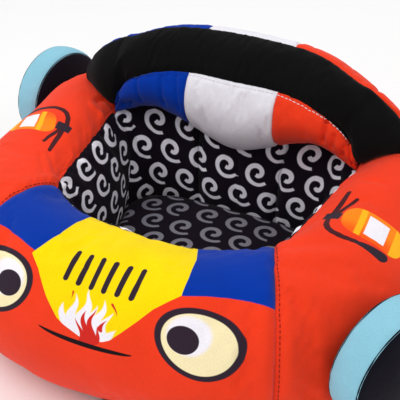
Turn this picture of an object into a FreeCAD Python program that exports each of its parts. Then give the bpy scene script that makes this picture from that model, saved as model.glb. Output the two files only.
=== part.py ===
"""Stuffed floor cushion for a baby, shaped like a small fire engine.

A fat stuffed ring goes round a deep D-shaped seat well, a crescent backrest
is sewn on the rear of the ring, and a stuffed wheel sits at each corner.
All the covers, linings, fillings and the zip of the base are separate pieces.

Frame: millimetres, +Z up, the engine's front towards -Y, the baby's left
towards +X. The origin is the middle of the rectangle that the cushion covers
on the floor.
"""

import FreeCAD
import Part
import math
import os

Vector = FreeCAD.Vector

# Driving dimensions: alias, millimetres, what it is
SIZES = (
    ("body_half_width", 250.0, "ring, centre line to its widest side"),
    ("body_half_length", 218.0, "ring, centre to its foremost and rearmost point"),
    ("rim_half_width", 145.0, "seat opening, centre line to the corners beside the backrest"),
    ("rim_front", 107.0, "front of the seat opening, ahead of the origin"),
    ("rim_rear", 139.0, "rear of the seat opening, behind the origin"),
    ("rim_height", 160.0, "rim seam above the floor, at the front"),
    ("crown_height", 170.0, "top of the ring above the floor, at the front"),
    ("widest_height", 84.0, "height at which the ring bulges most"),
    ("base_inset", 42.0, "base seam, inwards from the widest point"),
    ("under_bulge", 12.0, "how far the lower side stands in from the widest point"),
    ("wall_lean", 14.0, "foot of the well's wall, in front of the rim"),
    ("wall_bulge", 3.0, "how far the well's wall bulges past its foot"),
    ("cover_thickness", 1.6, "plush cover with its knitted backing"),
    ("lining_thickness", 1.4, "woven lining of the seat well"),
    ("soft_gap", 0.5, "clearance between a cover and what it encloses"),
    ("seam_gap", 0.4, "clearance where two sewn parts meet"),
    ("front_seam_reach", 80.0, "overrun of the cuts along the front seams"),
    ("well_middle", 6.0, "where the seam cuts meet, behind the origin"),
    ("back_lining_half_width", 55.0, "rear lining panel, centre line to its seams"),
    ("far_reach", 420.0, "half side of the blocks that part the panels"),
    ("base_thickness", 7.0, "quilted base with its anti-slip face"),
    ("base_flange", 2.0, "base beyond the foot of the ring's side"),
    ("pad_height", 48.0, "middle of the seat pad above the floor"),
    ("pad_drop", 10.0, "fall of the pad from its middle to its edge"),
    ("pad_half_span", 120.0, "middle of the pad to where the drop is measured"),
    ("pad_span_limit", 172.0, "middle of the pad to where its disc ends inside the ring"),
    ("pad_middle", 11.0, "middle of the pad, behind the origin"),
    ("backrest_half_length", 190.0, "backrest, centre line to its ends"),
    ("backrest_front", 89.0, "foremost point of the backrest, behind the origin"),
    ("backrest_depth", 117.0, "backrest, front to rear"),
    ("backrest_base", 135.0, "underside of the backrest above the floor"),
    ("backrest_rise", 113.0, "backrest, underside to top"),
    ("colour_seam_half", 51.0, "centre line to the seams of the white panels"),
    ("seam_overrun", 60.0, "how far the parting surfaces run past the backrest's seams"),
    ("tip_half_width", 145.0, "centre line to where the front panels end"),
    ("wheel_radius", 58.0, "wheel, at the middle of its tread"),
    ("wheel_seam_radius", 55.5, "wheel, at the seams of its tread"),
    ("wheel_width", 32.0, "wheel, seam to seam"),
    ("wheel_bulge", 12.0, "how far a wheel's face swells past its seam"),
    ("wheel_rise", 111.0, "wheel centre above the floor"),
    ("rear_wheel_x", 259.0, "rear wheel centre from the centre line"),
    ("rear_wheel_y", 158.0, "rear wheel centre behind the origin"),
    ("front_wheel_x", 244.0, "front wheel centre from the centre line"),
    ("front_wheel_y", 117.0, "front wheel centre ahead of the origin"),
    ("zip_y", 141.0, "zip, behind the origin"),
    ("zip_length", 240.0, "chain of the zip"),
    ("zip_end_room", 6.0, "opening past each end of the chain"),
    ("zip_opening", 24.0, "width of the opening in the base"),
    ("zip_plane", 4.6, "middle of the chain above the floor"),
    ("tape_thickness", 0.8, "woven tape of the zip"),
    ("coil_width", 2.2, "one coil of the chain"),
    ("coil_thickness", 2.0, "height of the chain"),
    ("coil_split", 2.0, "gap between the two coils"),
    ("slider_length", 9.0, "slider along the zip"),
    ("slider_width", 8.4, "slider across the zip"),
    ("slider_height", 4.6, "slider, plate to plate"),
    ("slider_plate", 0.8, "each plate of the slider"),
    ("slider_flange", 0.6, "side flange of the slider"),
    ("slider_slot", 1.6, "slot for the tape in the slider's side"),
    ("slider_post", 1.0, "width of the post between the plates"),
    ("slider_post_length", 2.5, "length of that post"),
    ("slider_end_room", 1.0, "slider to the stop at rest"),
    ("stop_length", 2.4, "stop along the zip"),
    ("stop_height", 2.8, "stop, bottom to top"),
)

# Wheels turn with the corner that they are sewn on
REAR_WHEEL_TURN_DEG = 12.0
FRONT_WHEEL_TURN_DEG = -27.0
# Middle of a wheel face's arc: shares of its bulge and of its radius
FACE_MIDDLE_SHARES = (0.72, 0.55)

# Stations of the ring from its front to its rear, one half. Each row: rim
# across (share of rim_half_width), rim along (share of the opening's length
# from its front), side across (share of body_half_width), side along (share
# of body_half_length, front negative), rim seam (share of rim_height), top
# (share of crown_height), and where the top lies (share of the ring's width).
STATION_SHARES = (
    (0.00, 0.000, 0.00, -1.00, 1.00, 1.00, 0.33),
    (0.41, 0.029, 0.38, -0.97, 0.99, 1.00, 0.33),
    (0.79, 0.175, 0.66, -0.84, 0.95, 0.99, 0.33),
    (0.87, 0.340, 0.91, -0.49, 0.94, 0.99, 0.31),
    (0.91, 0.520, 1.00, -0.06, 0.93, 1.00, 0.27),
    (0.96, 0.700, 1.00, 0.37, 0.92, 1.01, 0.30),
    (0.98, 0.870, 0.96, 0.73, 0.91, 0.99, 0.35),
    (0.66, 0.995, 0.58, 0.97, 0.88, 0.92, 0.40),
    (0.00, 1.000, 0.00, 1.00, 0.86, 0.88, 0.40),
)
FRONT_SEAM_ROW = 2
REAR_ROW = len(STATION_SHARES) - 1
# Stations lofted for each row, and stations lofted past the centre line
STATIONS_PER_ROW = 2
PAST_STATIONS = 4
SHOULDER_SHARES = (0.38, 0.74)
RING_CORE_SHARES = (0.5, 0.5)
WALL_MIDDLE_SHARE = 0.5
UNDER_MIDDLE_SHARE = 0.45

# Sections of the backrest from its middle to one end. Each row: distance
# from the centre line (share of backrest_half_length), then corners and
# middles of the section as (share of backrest_depth from its front, share of
# backrest_rise from its underside): underside front, front bulge, front
# seam, top bulge, rear seam, rear bulge, underside rear.
BACKREST_SHARES = (
    (0.000, ((0.21, -0.08), (0.01, 0.29), (0.13, 0.70), (0.30, 0.91), (0.56, 0.98),
             (1.00, 0.56), (0.79, -0.04))),
    (0.263, ((0.31, 0.04), (0.02, 0.36), (0.13, 0.70), (0.29, 0.91), (0.55, 0.97),
             (0.98, 0.55), (0.78, -0.04))),
    (0.505, ((0.16, 0.22), (0.00, 0.43), (0.07, 0.63), (0.21, 0.88), (0.45, 0.93),
             (0.90, 0.51), (0.77, -0.02))),
    (0.689, ((0.10, 0.13), (0.03, 0.27), (0.09, 0.42), (0.12, 0.72), (0.38, 0.83),
             (0.78, 0.45), (0.74, 0.01))),
    (0.768, ((0.12, 0.07), (0.09, 0.10), (0.10, 0.13), (0.07, 0.58), (0.35, 0.79),
             (0.71, 0.42), (0.70, 0.02))),
    (0.868, ((0.17, 0.07), (0.15, 0.11), (0.15, 0.14), (0.08, 0.50), (0.32, 0.70),
             (0.63, 0.38), (0.62, 0.06))),
    (0.947, ((0.23, 0.12), (0.21, 0.15), (0.21, 0.19), (0.17, 0.42), (0.32, 0.58),
             (0.53, 0.36), (0.52, 0.10))),
    (0.985, ((0.26, 0.20), (0.23, 0.23), (0.23, 0.26), (0.22, 0.38), (0.32, 0.48),
             (0.44, 0.35), (0.42, 0.20))),
    (1.000, ((0.31, 0.28), (0.29, 0.30), (0.29, 0.33), (0.30, 0.36), (0.34, 0.37),
             (0.38, 0.33), (0.36, 0.28))),
)
# Corners of a section between which each run of panels lies
TOP_CORNERS = (4, 3, 2)
FRONT_CORNERS = (2, 1, 0, 6)
REAR_CORNERS = (6, 5, 4)


def make_document():
    """Make the document and its sheet of driving dimensions."""
    document = FreeCAD.newDocument("FloorCushion")
    table = document.addObject("Spreadsheet::Sheet", "Sizes")
    for row, (alias, value, note) in enumerate(SIZES, start=1):
        table.set("A%d" % row, alias)
        table.set("B%d" % row, "%g" % value)
        table.set("C%d" % row, note)
        table.setAlias("B%d" % row, alias)
    document.recompute()
    return document, table


doc, sheet = make_document()
size = {alias: float(getattr(sheet, alias)) for alias, value, note in SIZES}
PIECES = []

base_top = size["base_thickness"] + size["seam_gap"]
fill_inset = size["cover_thickness"] + size["soft_gap"]


def add_soft_piece(name, shape, placement=FreeCAD.Placement()):
    """Keep one soft piece, whose form is lofted or cut, under its own name."""
    feature = doc.addObject("Part::Feature", name)
    feature.Label = name
    feature.Shape = shape
    feature.Placement = placement
    PIECES.append(feature)
    return feature


def arc(start, middle, end):
    """Arc of under half a circle through three points."""
    return Part.Arc(start, middle, end).toShape()


def line(start, end):
    """Straight edge between two points."""
    return Part.LineSegment(start, end).toShape()


def mirrored(point):
    """The same point on the other side of the centre line."""
    return Vector(-point.x, point.y, point.z)


def largest_solid(shape):
    """The main solid of a cut, without any sliver beside it."""
    return max(shape.Solids, key=lambda solid: solid.Volume)


# The ring round the seat well


def row_curve(points):
    """Closed curve through one point of every row, its parameter counting the rows."""
    curve = Part.BSplineCurve()
    curve.interpolate(Points=points, PeriodicFlag=True,
                      Parameters=[float(row) for row in range(len(points) + 1)])
    return curve


def ring_curves():
    """Curves of the rim, of the widest side and of the top, all round the ring."""
    left = [(1, shares) for shares in STATION_SHARES]
    right = [(-1, shares) for shares in STATION_SHARES[REAR_ROW - 1:0:-1]]
    opening_length = size["rim_front"] + size["rim_rear"]
    rims = []
    sides = []
    tops = []
    for side, (rim_x, rim_y, body_x, body_y, rim_z, top_z, top_at) in left + right:
        rims.append(Vector(side * rim_x * size["rim_half_width"],
                           rim_y * opening_length - size["rim_front"], rim_z * size["rim_height"]))
        sides.append(Vector(side * body_x * size["body_half_width"],
                            body_y * size["body_half_length"], 0))
        tops.append(Vector(top_at, body_y, top_z * size["crown_height"]))
    return [row_curve(points) for points in (rims, sides, tops)]


RING_CURVES = ring_curves()


class Station:
    """One upright section of the ring, from the rim outwards."""

    def __init__(self, row):
        rim, edge, top = [curve.value(row) for curve in RING_CURVES]
        self.rim = Vector(rim.x, rim.y, 0)
        self.width = self.rim.distanceToPoint(edge)
        self.outwards = (edge - self.rim).normalize()
        self.rim_height = rim.z
        self.top_height = top.z
        self.top_at = top.x * self.width

    def point(self, across, height):
        """Point of the section plane, measured outwards from the rim."""
        place = self.rim + self.outwards * across
        return Vector(place.x, place.y, height)

    def inset_point(self, across, height, inset):
        """The same point, moved in towards the core of the ring."""
        core_across = RING_CORE_SHARES[0] * self.width
        core_height = RING_CORE_SHARES[1] * size["crown_height"]
        reach = math.hypot(core_across - across, core_height - height)
        move = inset / reach
        return self.point(across + move * (core_across - across), height + move * (core_height - height))

    def oval_point(self, angle_deg, inset):
        """Point of the quarter oval from the top (90) to the widest side (0)."""
        half_width = self.width - self.top_at
        half_height = self.top_height - size["widest_height"]
        angle = math.radians(angle_deg)
        return self.inset_point(self.top_at + half_width * math.cos(angle),
                                size["widest_height"] + half_height * math.sin(angle), inset)

    def cover_edges(self, inset):
        """Arcs of the outer cover, from the rim seam over the top to the base seam."""
        rim = self.inset_point(0, self.rim_height, inset)
        shoulder_height = self.rim_height + SHOULDER_SHARES[1] * (self.top_height - self.rim_height)
        shoulder = self.inset_point(SHOULDER_SHARES[0] * self.top_at, shoulder_height, inset)
        ovals = [self.oval_point(angle, inset) for angle in (90, 67.5, 45, 22.5, 0)]
        under_height = base_top + UNDER_MIDDLE_SHARE * (size["widest_height"] - base_top)
        under = self.inset_point(self.width - size["under_bulge"], under_height, inset)
        foot = self.point(self.width - size["base_inset"] - inset, base_top)
        return [arc(rim, shoulder, ovals[0]), arc(ovals[0], ovals[1], ovals[2]),
                arc(ovals[2], ovals[3], ovals[4]), arc(ovals[4], under, foot)]

    def lining_edge(self, inset, drop=0):
        """Arc of the well's wall, from its foot up to the rim seam or a little under it."""
        foot = self.point(inset - size["wall_lean"], base_top)
        middle_height = WALL_MIDDLE_SHARE * self.rim_height
        middle = self.inset_point(-size["wall_lean"] - size["wall_bulge"], middle_height, inset)
        rim = self.inset_point(0, self.rim_height - drop, inset)
        return arc(foot, middle, rim)


def start_of(edge):
    return edge.valueAt(edge.FirstParameter)


def end_of(edge):
    return edge.valueAt(edge.LastParameter)


def strip_wire(outer, inner):
    """Closed wire of a thin section between two runs of edges."""
    first = line(end_of(outer[-1]), end_of(inner[-1]))
    last = line(start_of(inner[0]), start_of(outer[0]))
    return Part.Wire(outer + [first] + inner[::-1] + [last])


def whole_section(station, inset):
    """Closed section of the ring, moved in (or, below zero, out) by one inset."""
    cover = station.cover_edges(inset)
    wall = station.lining_edge(inset)
    floor = line(end_of(cover[-1]), start_of(wall))
    return Part.Wire(cover + [floor, wall])


def cover_section(station):
    """Thin section of the outer cover."""
    return strip_wire(station.cover_edges(0), station.cover_edges(size["cover_thickness"]))


def lining_section(station):
    """Thin section of the well's lining, its upper edge just clear of the cover."""
    drop = size["seam_gap"]
    return strip_wire([station.lining_edge(0, drop)],
                      [station.lining_edge(size["lining_thickness"], drop)])


def ring_half(side, section):
    """One half of the ring, or of one of its skins, as a solid.

    A few stations past the centre line keep the two halves smooth where they meet.
    """
    half_turn = REAR_ROW * STATIONS_PER_ROW
    first = 0 if side > 0 else half_turn
    turn = range(first - PAST_STATIONS, first + half_turn + PAST_STATIONS + 1)
    body = Part.makeLoft([section(STATIONS[i % len(STATIONS)]) for i in turn], True, False)
    far = size["far_reach"]
    corner = Vector(min(0, side) * far, -far, 0)
    return body.common(Part.makeBox(far, 2 * far, far, corner))


STATIONS = [Station(i / STATIONS_PER_ROW) for i in range(2 * REAR_ROW * STATIONS_PER_ROW)]
RING_ROOMS = [ring_half(side, lambda s: whole_section(s, -size["seam_gap"])) for side in (1, -1)]


def clear_of_ring(shape, placement=FreeCAD.Placement()):
    """The shape without what the ring takes up, in the shape's own placement."""
    for room in RING_ROOMS:
        tool = room.copy()
        tool.Placement = placement.inverse()
        shape = shape.cut(tool)
    return shape


def seam_corner(side, reach):
    """Point on the line of a front seam, beyond the ring by one reach."""
    station = Station(FRONT_SEAM_ROW)
    across = reach if reach < 0 else station.width + reach
    corner = station.point(across, 0)
    return corner if side > 0 else mirrored(corner)


def block_over(corners):
    """Upright block over a plan outline, tall enough to part the panels."""
    wire = Part.makePolygon(corners + [corners[0]])
    return Part.Face(wire).extrude(Vector(0, 0, size["far_reach"]))


def front_block():
    """Block over the front panel, between the two front seams."""
    far = size["far_reach"]
    reach = size["front_seam_reach"]
    middle = Vector(0, size["well_middle"], 0)
    inner = seam_corner(1, -reach / 2)
    outer = seam_corner(1, reach)
    corners = [middle, inner, outer, Vector(outer.x, -far, 0)]
    return block_over(corners + [mirrored(corner) for corner in corners[:0:-1]])


def side_block(side, rear_half_width):
    """Block over one side, from its front seam to a seam at the rear."""
    far = size["far_reach"]
    reach = size["front_seam_reach"]
    middle = size["well_middle"]
    outer = seam_corner(side, reach)
    corners = [Vector(0, middle, 0), seam_corner(side, -reach / 2), outer, Vector(outer.x, -far, 0),
               Vector(side * far, -far, 0), Vector(side * far, far, 0),
               Vector(side * rear_half_width, far, 0)]
    if rear_half_width > 0:
        corners.append(Vector(side * rear_half_width, middle, 0))
    return block_over(corners)


def rear_block(half_width):
    """Block over the rear lining panel."""
    box = Part.makeBox(2 * half_width, size["far_reach"], size["far_reach"])
    box.translate(Vector(-half_width, size["well_middle"], 0))
    return box


def joined(halves, block=None):
    """One piece from a left and a right half, each first cut to a block."""
    left, right = [half.common(block) for half in halves] if block else halves
    return largest_solid(left.fuse(right))


def add_ring():
    """Filling, outer covers and lining of the ring."""
    halves = [ring_half(side, lambda s: whole_section(s, fill_inset)) for side in (1, -1)]
    add_soft_piece("ring_filling", joined(halves))
    covers = [ring_half(side, cover_section) for side in (1, -1)]
    add_soft_piece("front_cover", joined(covers, front_block()))
    for cover, side, name in zip(covers, (1, -1), ("left", "right")):
        add_soft_piece(name + "_side_cover", largest_solid(cover.common(side_block(side, 0))))
    linings = [ring_half(side, lining_section) for side in (1, -1)]
    back_half = size["back_lining_half_width"]
    add_soft_piece("front_lining", joined(linings, front_block()))
    for lining, side, name in zip(linings, (1, -1), ("left", "right")):
        add_soft_piece(name + "_lining", largest_solid(lining.common(side_block(side, back_half))))
    add_soft_piece("back_lining", joined(linings, rear_block(back_half)))


# The seat pad and the base


def plan_outline(across_of, height):
    """Closed outline of arcs through one point of each station."""
    points = [station.point(across_of(station), height) for station in STATIONS]
    points.append(points[0])
    edges = [arc(points[i], points[i + 1], points[i + 2]) for i in range(0, len(points) - 1, 2)]
    return Part.Face(Part.Wire(edges))


def pad_dome(inset, foot):
    """Crowned disc over the well, its top lowered by one inset, down to a foot.

    Without a foot height the disc is a sheet as thick as the cover.
    """
    drop = size["pad_drop"]
    half = size["pad_half_span"]
    radius = (half ** 2 + drop ** 2) / (2 * drop)
    reach = size["pad_span_limit"]

    def crown(across, lower):
        fall = radius - math.sqrt(radius ** 2 - across ** 2)
        return Vector(across, 0, size["pad_height"] - fall - lower)

    top = arc(crown(0, inset), crown(reach / 2, inset), crown(reach, inset))
    if foot is None:
        lower = inset + size["cover_thickness"]
        under = arc(crown(reach, lower), crown(reach / 2, lower), crown(0, lower))
        edges = [top, line(end_of(top), start_of(under)), under, line(end_of(under), start_of(top))]
    else:
        edge = Vector(reach, 0, foot)
        axis = Vector(0, 0, foot)
        edges = [top, line(end_of(top), edge), line(edge, axis), line(axis, start_of(top))]
    disc = Part.Face(Part.Wire(edges)).revolve(Vector(0, 0, 0), Vector(0, 0, 1), 360)
    disc.translate(Vector(0, size["pad_middle"], 0))
    return disc


def add_seat_pad():
    """Cover and filling of the seat pad, which fills the foot of the well."""
    for name, inset, foot in (("seat_pad_cover", 0, None), ("seat_pad_filling", fill_inset, base_top)):
        add_soft_piece(name, largest_solid(clear_of_ring(pad_dome(inset, foot))))


def add_base():
    """Quilted base under the ring and the pad, with the opening for the zip."""
    blank = doc.addObject("Part::Feature", "BaseBlank")
    outline = plan_outline(lambda s: s.width - size["base_inset"] + size["base_flange"], 0)
    blank.Shape = outline.extrude(Vector(0, 0, size["base_thickness"]))
    opening = zip_box("ZipOpening", "Sizes.zip_length + 2 * Sizes.zip_end_room", "Sizes.zip_opening",
                      "3 * Sizes.base_thickness", "0", "0", "Sizes.base_thickness / 2")
    base = doc.addObject("Part::Cut", "base_panel")
    base.Label = "base_panel"
    base.Base = blank
    base.Tool = opening
    PIECES.append(base)


# The zip of the base


def zip_box(name, length, width, height, x, y, z):
    """Box about a point of the zip; every size is a formula on the sheet."""
    box = doc.addObject("Part::Box", name)
    box.setExpression("Length", length)
    box.setExpression("Width", width)
    box.setExpression("Height", height)
    box.setExpression("Placement.Base.x", "%s - (%s) / 2" % (x, length))
    box.setExpression("Placement.Base.y", "Sizes.zip_y + %s - (%s) / 2" % (y, width))
    box.setExpression("Placement.Base.z", "%s - (%s) / 2" % (z, height))
    return box


def add_compound(name, members):
    """One piece made of several separate solids."""
    group = doc.addObject("Part::Compound", name)
    group.Label = name
    group.Links = members
    PIECES.append(group)


def add_zip():
    """Tapes, coils, stops and slider, recessed in the opening of the base."""
    plane = "Sizes.zip_plane"
    coil_y = "(Sizes.coil_split + Sizes.coil_width) / 2"
    coil_edge = "(Sizes.coil_split / 2 + Sizes.coil_width)"
    tape_width = "(Sizes.zip_opening / 2 - %s)" % coil_edge
    tape_y = "(%s + %s / 2)" % (coil_edge, tape_width)
    tape_length = "Sizes.zip_length + 2 * Sizes.zip_end_room"
    tapes = []
    coils = []
    stops = []
    for sign, name in (("", "Rear"), ("-", "Front")):
        tapes.append(zip_box(name + "Tape", tape_length, tape_width, "Sizes.tape_thickness",
                             "0", sign + tape_y, plane))
        coils.append(zip_box(name + "Coil", "Sizes.zip_length", "Sizes.coil_width", "Sizes.coil_thickness",
                             "0", sign + coil_y, plane))
    for sign, name in (("", "Left"), ("-", "Right")):
        stop_x = sign + "(Sizes.zip_length + Sizes.stop_length) / 2"
        stops.append(zip_box(name + "Stop", "Sizes.stop_length", "2 * %s" % coil_edge,
                             "Sizes.stop_height", stop_x, "0", plane))
    add_compound("zip_tapes", tapes)
    add_compound("zip_coils", coils)
    add_compound("zip_stops", stops)
    add_slider(plane)


def add_slider(plane):
    """Slider: two plates and a post, with slots for the tapes in its flanges."""
    rest_x = "(Sizes.slider_end_room + (Sizes.slider_length - Sizes.zip_length) / 2)"
    block = zip_box("SliderBlock", "Sizes.slider_length", "Sizes.slider_width", "Sizes.slider_height",
                    rest_x, "0", plane)
    channel = zip_box("SliderChannel", "2 * Sizes.slider_length",
                      "Sizes.slider_width - 2 * Sizes.slider_flange",
                      "Sizes.slider_height - 2 * Sizes.slider_plate", rest_x, "0", plane)
    slot = zip_box("SliderSlot", "2 * Sizes.slider_length", "2 * Sizes.slider_width",
                   "Sizes.slider_slot", rest_x, "0", plane)
    post = zip_box("SliderPost", "Sizes.slider_post_length", "Sizes.slider_post",
                   "Sizes.slider_height - Sizes.slider_plate", rest_x, "0", plane)
    opened = doc.addObject("Part::MultiFuse", "SliderRoom")
    opened.Shapes = [channel, slot]
    shell = doc.addObject("Part::Cut", "SliderShell")
    shell.Base = block
    shell.Tool = opened
    slider = doc.addObject("Part::Fuse", "zip_slider")
    slider.Label = "zip_slider"
    slider.Base = shell
    slider.Tool = post
    PIECES.append(slider)


# The backrest


class Section:
    """One upright section of the backrest, square to its length."""

    def __init__(self, shares, side, inset):
        along, corners = shares
        half = size["backrest_half_length"] - inset
        self.x = side * along * half
        points = [Vector(self.x, size["backrest_front"] + depth * size["backrest_depth"],
                         size["backrest_base"] + rise * size["backrest_rise"])
                  for depth, rise in corners]
        middle = sum(points, Vector()) * (1 / len(points))
        self.points = [p + (middle - p).normalize() * inset for p in points]

    def front_edge(self):
        """From the front seam down to the underside."""
        return arc(self.points[2], self.points[1], self.points[0])

    def top_edge(self):
        """From the rear seam over the top to the front seam."""
        return arc(self.points[4], self.points[3], self.points[2])

    def rear_edge(self):
        """From the underside up to the rear seam."""
        return arc(self.points[6], self.points[5], self.points[4])

    def outline(self):
        """The whole section, closed along its underside."""
        floor = line(self.points[0], self.points[6])
        return Part.Wire([self.rear_edge(), self.top_edge(), self.front_edge(), floor])


def backrest_sections(inset):
    """Sections from the right end to the left end."""
    right = [Section(shares, -1, inset) for shares in BACKREST_SHARES[:0:-1]]
    left = [Section(shares, 1, inset) for shares in BACKREST_SHARES]
    return right + left


def panel_block(low, high):
    """Block over one stretch of the backrest."""
    far = size["far_reach"]
    box = Part.makeBox(high - low, 2 * far, 2 * far)
    box.translate(Vector(low, -far, -far))
    return box


def backrest_body(inset):
    """The whole backrest, moved in by one inset."""
    return Part.makeLoft([section.outline() for section in backrest_sections(inset)], True, False)


def seam_region(corners, first_ease=0, last_ease=0):
    """Solid between the backrest's core and the seams at some of its corners.

    Each ease moves the first or the last seam in, towards the corner next to it.
    """
    wires = []
    for section in backrest_sections(0):
        middle = sum(section.points, Vector()) * (1 / len(section.points))
        seams = [section.points[corner] for corner in corners]
        first = seams[0] + (seams[1] - seams[0]).normalize() * first_ease
        last = seams[-1] + (seams[-2] - seams[-1]).normalize() * last_ease
        points = [middle]
        for seam in [first] + seams[1:-1] + [last]:
            points.append(seam + (seam - middle).normalize() * size["seam_overrun"])
        wires.append(Part.makePolygon(points + [middle]))
    return Part.makeLoft(wires, True, False)


def add_backrest():
    """Filling, black gusset and the coloured front and rear panels."""
    add_soft_piece("backrest_filling", largest_solid(clear_of_ring(backrest_body(fill_inset))))
    skin = clear_of_ring(backrest_body(0).cut(backrest_body(size["cover_thickness"])))
    end = size["backrest_half_length"] + size["seam_overrun"]
    tip = size["tip_half_width"]
    seam = size["colour_seam_half"]
    for run, corners, limit in (("front", FRONT_CORNERS, tip), ("rear", REAR_CORNERS, end)):
        region = seam_region(corners)
        for colour, low, high in (("blue", -limit, -seam), ("white", -seam, seam), ("red", seam, limit)):
            panel = skin.common(panel_block(low, high)).common(region)
            add_soft_piece("backrest_%s_%s_panel" % (run, colour), largest_solid(panel))
    gap = size["seam_gap"]
    lap_region = seam_region(FRONT_CORNERS, -2 * gap, gap)
    laps = [skin.common(panel_block(*ends)).common(lap_region) for ends in ((-end, -tip), (tip, end))]
    gusset = skin.common(seam_region(TOP_CORNERS, gap, gap)).multiFuse(laps)
    add_soft_piece("backrest_gusset", largest_solid(gusset))


# The wheels


def turned(edges):
    """Solid turned about the wheel's axle, which lies along local X."""
    face = Part.Face(Part.Wire(edges))
    return face.revolve(Vector(0, 0, 0), Vector(1, 0, 0), 360)


def wheel_face(side, inset):
    """Arc of a crowned wheel face, from the axle out to the tread seam."""
    half = side * size["wheel_width"] / 2
    bulge = side * size["wheel_bulge"]
    seam = size["wheel_seam_radius"]
    radius = seam - inset
    step = side * inset
    across, along = FACE_MIDDLE_SHARES
    return arc(Vector(half + bulge - step, 0, 0),
               Vector(half + across * bulge - step, along * radius, 0),
               Vector(half - step, radius, 0))


def wheel_tread(inset):
    """Arc of the crowned tread, from the inner to the outer seam."""
    half = size["wheel_width"] / 2 - inset
    seam = size["wheel_seam_radius"] - inset
    return arc(Vector(-half, seam, 0), Vector(0, size["wheel_radius"] - inset, 0), Vector(half, seam, 0))


def wheel_solid(inset):
    """The whole wheel, moved in by one inset."""
    inner = wheel_face(-1, inset)
    outer = wheel_face(1, inset)
    axle = line(start_of(outer), start_of(inner))
    return turned([inner, wheel_tread(inset), outer, axle])


def add_wheel(name, x, y, turn_deg):
    """Tread, outer face, inner face and filling of one wheel."""
    placement = FreeCAD.Placement(Vector(x, y, size["wheel_rise"]),
                                  FreeCAD.Rotation(Vector(0, 0, 1), turn_deg))
    whole = wheel_solid(0)
    hollow = whole.cut(wheel_solid(size["cover_thickness"]))
    half = size["wheel_width"] / 2
    far = size["far_reach"]
    band = Part.makeBox(2 * half, far, far, Vector(-half, -far / 2, -far / 2))
    outside = Part.makeBox(far, far, far, Vector(half, -far / 2, -far / 2))
    inside = Part.makeBox(far, far, far, Vector(-half - far, -far / 2, -far / 2))
    add_soft_piece(name + "_outer_face", hollow.common(outside), placement)
    for part, shape in (("_tread", hollow.common(band)), ("_inner_face", hollow.common(inside)),
                        ("_filling", wheel_solid(fill_inset))):
        add_soft_piece(name + part, largest_solid(clear_of_ring(shape, placement)), placement)


def add_wheels():
    """Four wheels, one at each corner."""
    corners = (("rear", size["rear_wheel_x"], size["rear_wheel_y"], REAR_WHEEL_TURN_DEG),
               ("front", size["front_wheel_x"], -size["front_wheel_y"], FRONT_WHEEL_TURN_DEG))
    for end, x, y, turn in corners:
        add_wheel(end + "_left_wheel", x, y, turn)
        add_wheel(end + "_right_wheel", -x, y, 180 - turn)


def export_pieces():
    """Check every object, then write each piece to its own file."""
    doc.recompute()
    for thing in doc.Objects:
        states = set(thing.State) & {"Invalid", "Error"}
        if states:
            raise RuntimeError("%s is %s" % (thing.Name, ", ".join(states)))
    for piece in PIECES:
        if piece.Shape.isNull() or not piece.Shape.isValid():
            raise RuntimeError("%s has no valid shape" % piece.Label)
    os.makedirs("parts", exist_ok=True)
    for piece in PIECES:
        piece.Shape.exportStep("parts/%s.step" % piece.Label)
        print("%-34s %2d solids %10.1f cm3" % (piece.Label, len(piece.Shape.Solids),
                                              piece.Shape.Volume / 1000))


add_ring()
add_seat_pad()
add_base()
add_zip()
add_backrest()
add_wheels()
export_pieces()
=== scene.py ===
import math
from functools import partial
import bpy
import numpy as np
from mathutils import Matrix, Vector
from mathutils.bvhtree import BVHTree


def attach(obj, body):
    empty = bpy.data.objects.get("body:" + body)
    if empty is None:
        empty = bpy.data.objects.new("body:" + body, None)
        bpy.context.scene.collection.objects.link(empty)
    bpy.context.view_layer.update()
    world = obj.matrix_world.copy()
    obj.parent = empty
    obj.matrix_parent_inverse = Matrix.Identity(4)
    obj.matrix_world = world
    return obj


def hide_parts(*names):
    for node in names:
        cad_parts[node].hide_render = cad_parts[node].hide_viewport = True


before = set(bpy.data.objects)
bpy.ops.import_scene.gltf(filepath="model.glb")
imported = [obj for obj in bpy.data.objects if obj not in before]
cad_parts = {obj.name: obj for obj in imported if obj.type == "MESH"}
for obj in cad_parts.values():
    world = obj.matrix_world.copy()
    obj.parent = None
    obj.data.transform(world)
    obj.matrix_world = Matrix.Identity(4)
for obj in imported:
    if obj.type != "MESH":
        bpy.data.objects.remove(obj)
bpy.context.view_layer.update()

# Stuffed floor cushion for a baby: skins of plush and lining over the fixed frame

# Lengths, here and below in mm where no other unit is named
MM = 0.001
SKIN = 1.6
LINING = 1.2
SKIN_ROOM = 2.1
REST_ROOM = 2.6
BASE_TOP = 7.4
SEAM_ROOM = 0.02
RAY_REACH = 400.0
CROWDING = 0.09
SMOOTH_ROUNDS = 2
FILLS = {"plush": 0.9, "lining": 0.8, "gusset": 0.8, "pad": 0.7, "wheel": 0.8, "fibre": 0.8, "base": 0.3}

# Camera of the photograph, its place in metres
CAMERA_PLACE = Vector((0.326, -0.6761, 0.673))
CAMERA_TURN_DEG = 25.0
CAMERA_RISE_DEG = 36.0
CAMERA_LENS = 81.0
CAMERA_SENSOR = 36.0
PHOTO_SIDE = 400
PHOTO_REACH = 3.0

# Lights (name, place, side and power), sky and floor, in metres
LIGHTS = (
    ("key", (-0.7, -0.6, 1.5), 1.2, 12),
    ("fill", (1.2, -0.6, 1.2), 1.4, 4),
    ("back", (0.2, 1.2, 1.4), 1.2, 5),
)
LIGHT_AIM = (0, 0, 0.1)
SKY_STRENGTH = 0.68
FLOOR_SIDE = 8
FLOOR_HEIGHT = -0.0002

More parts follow.
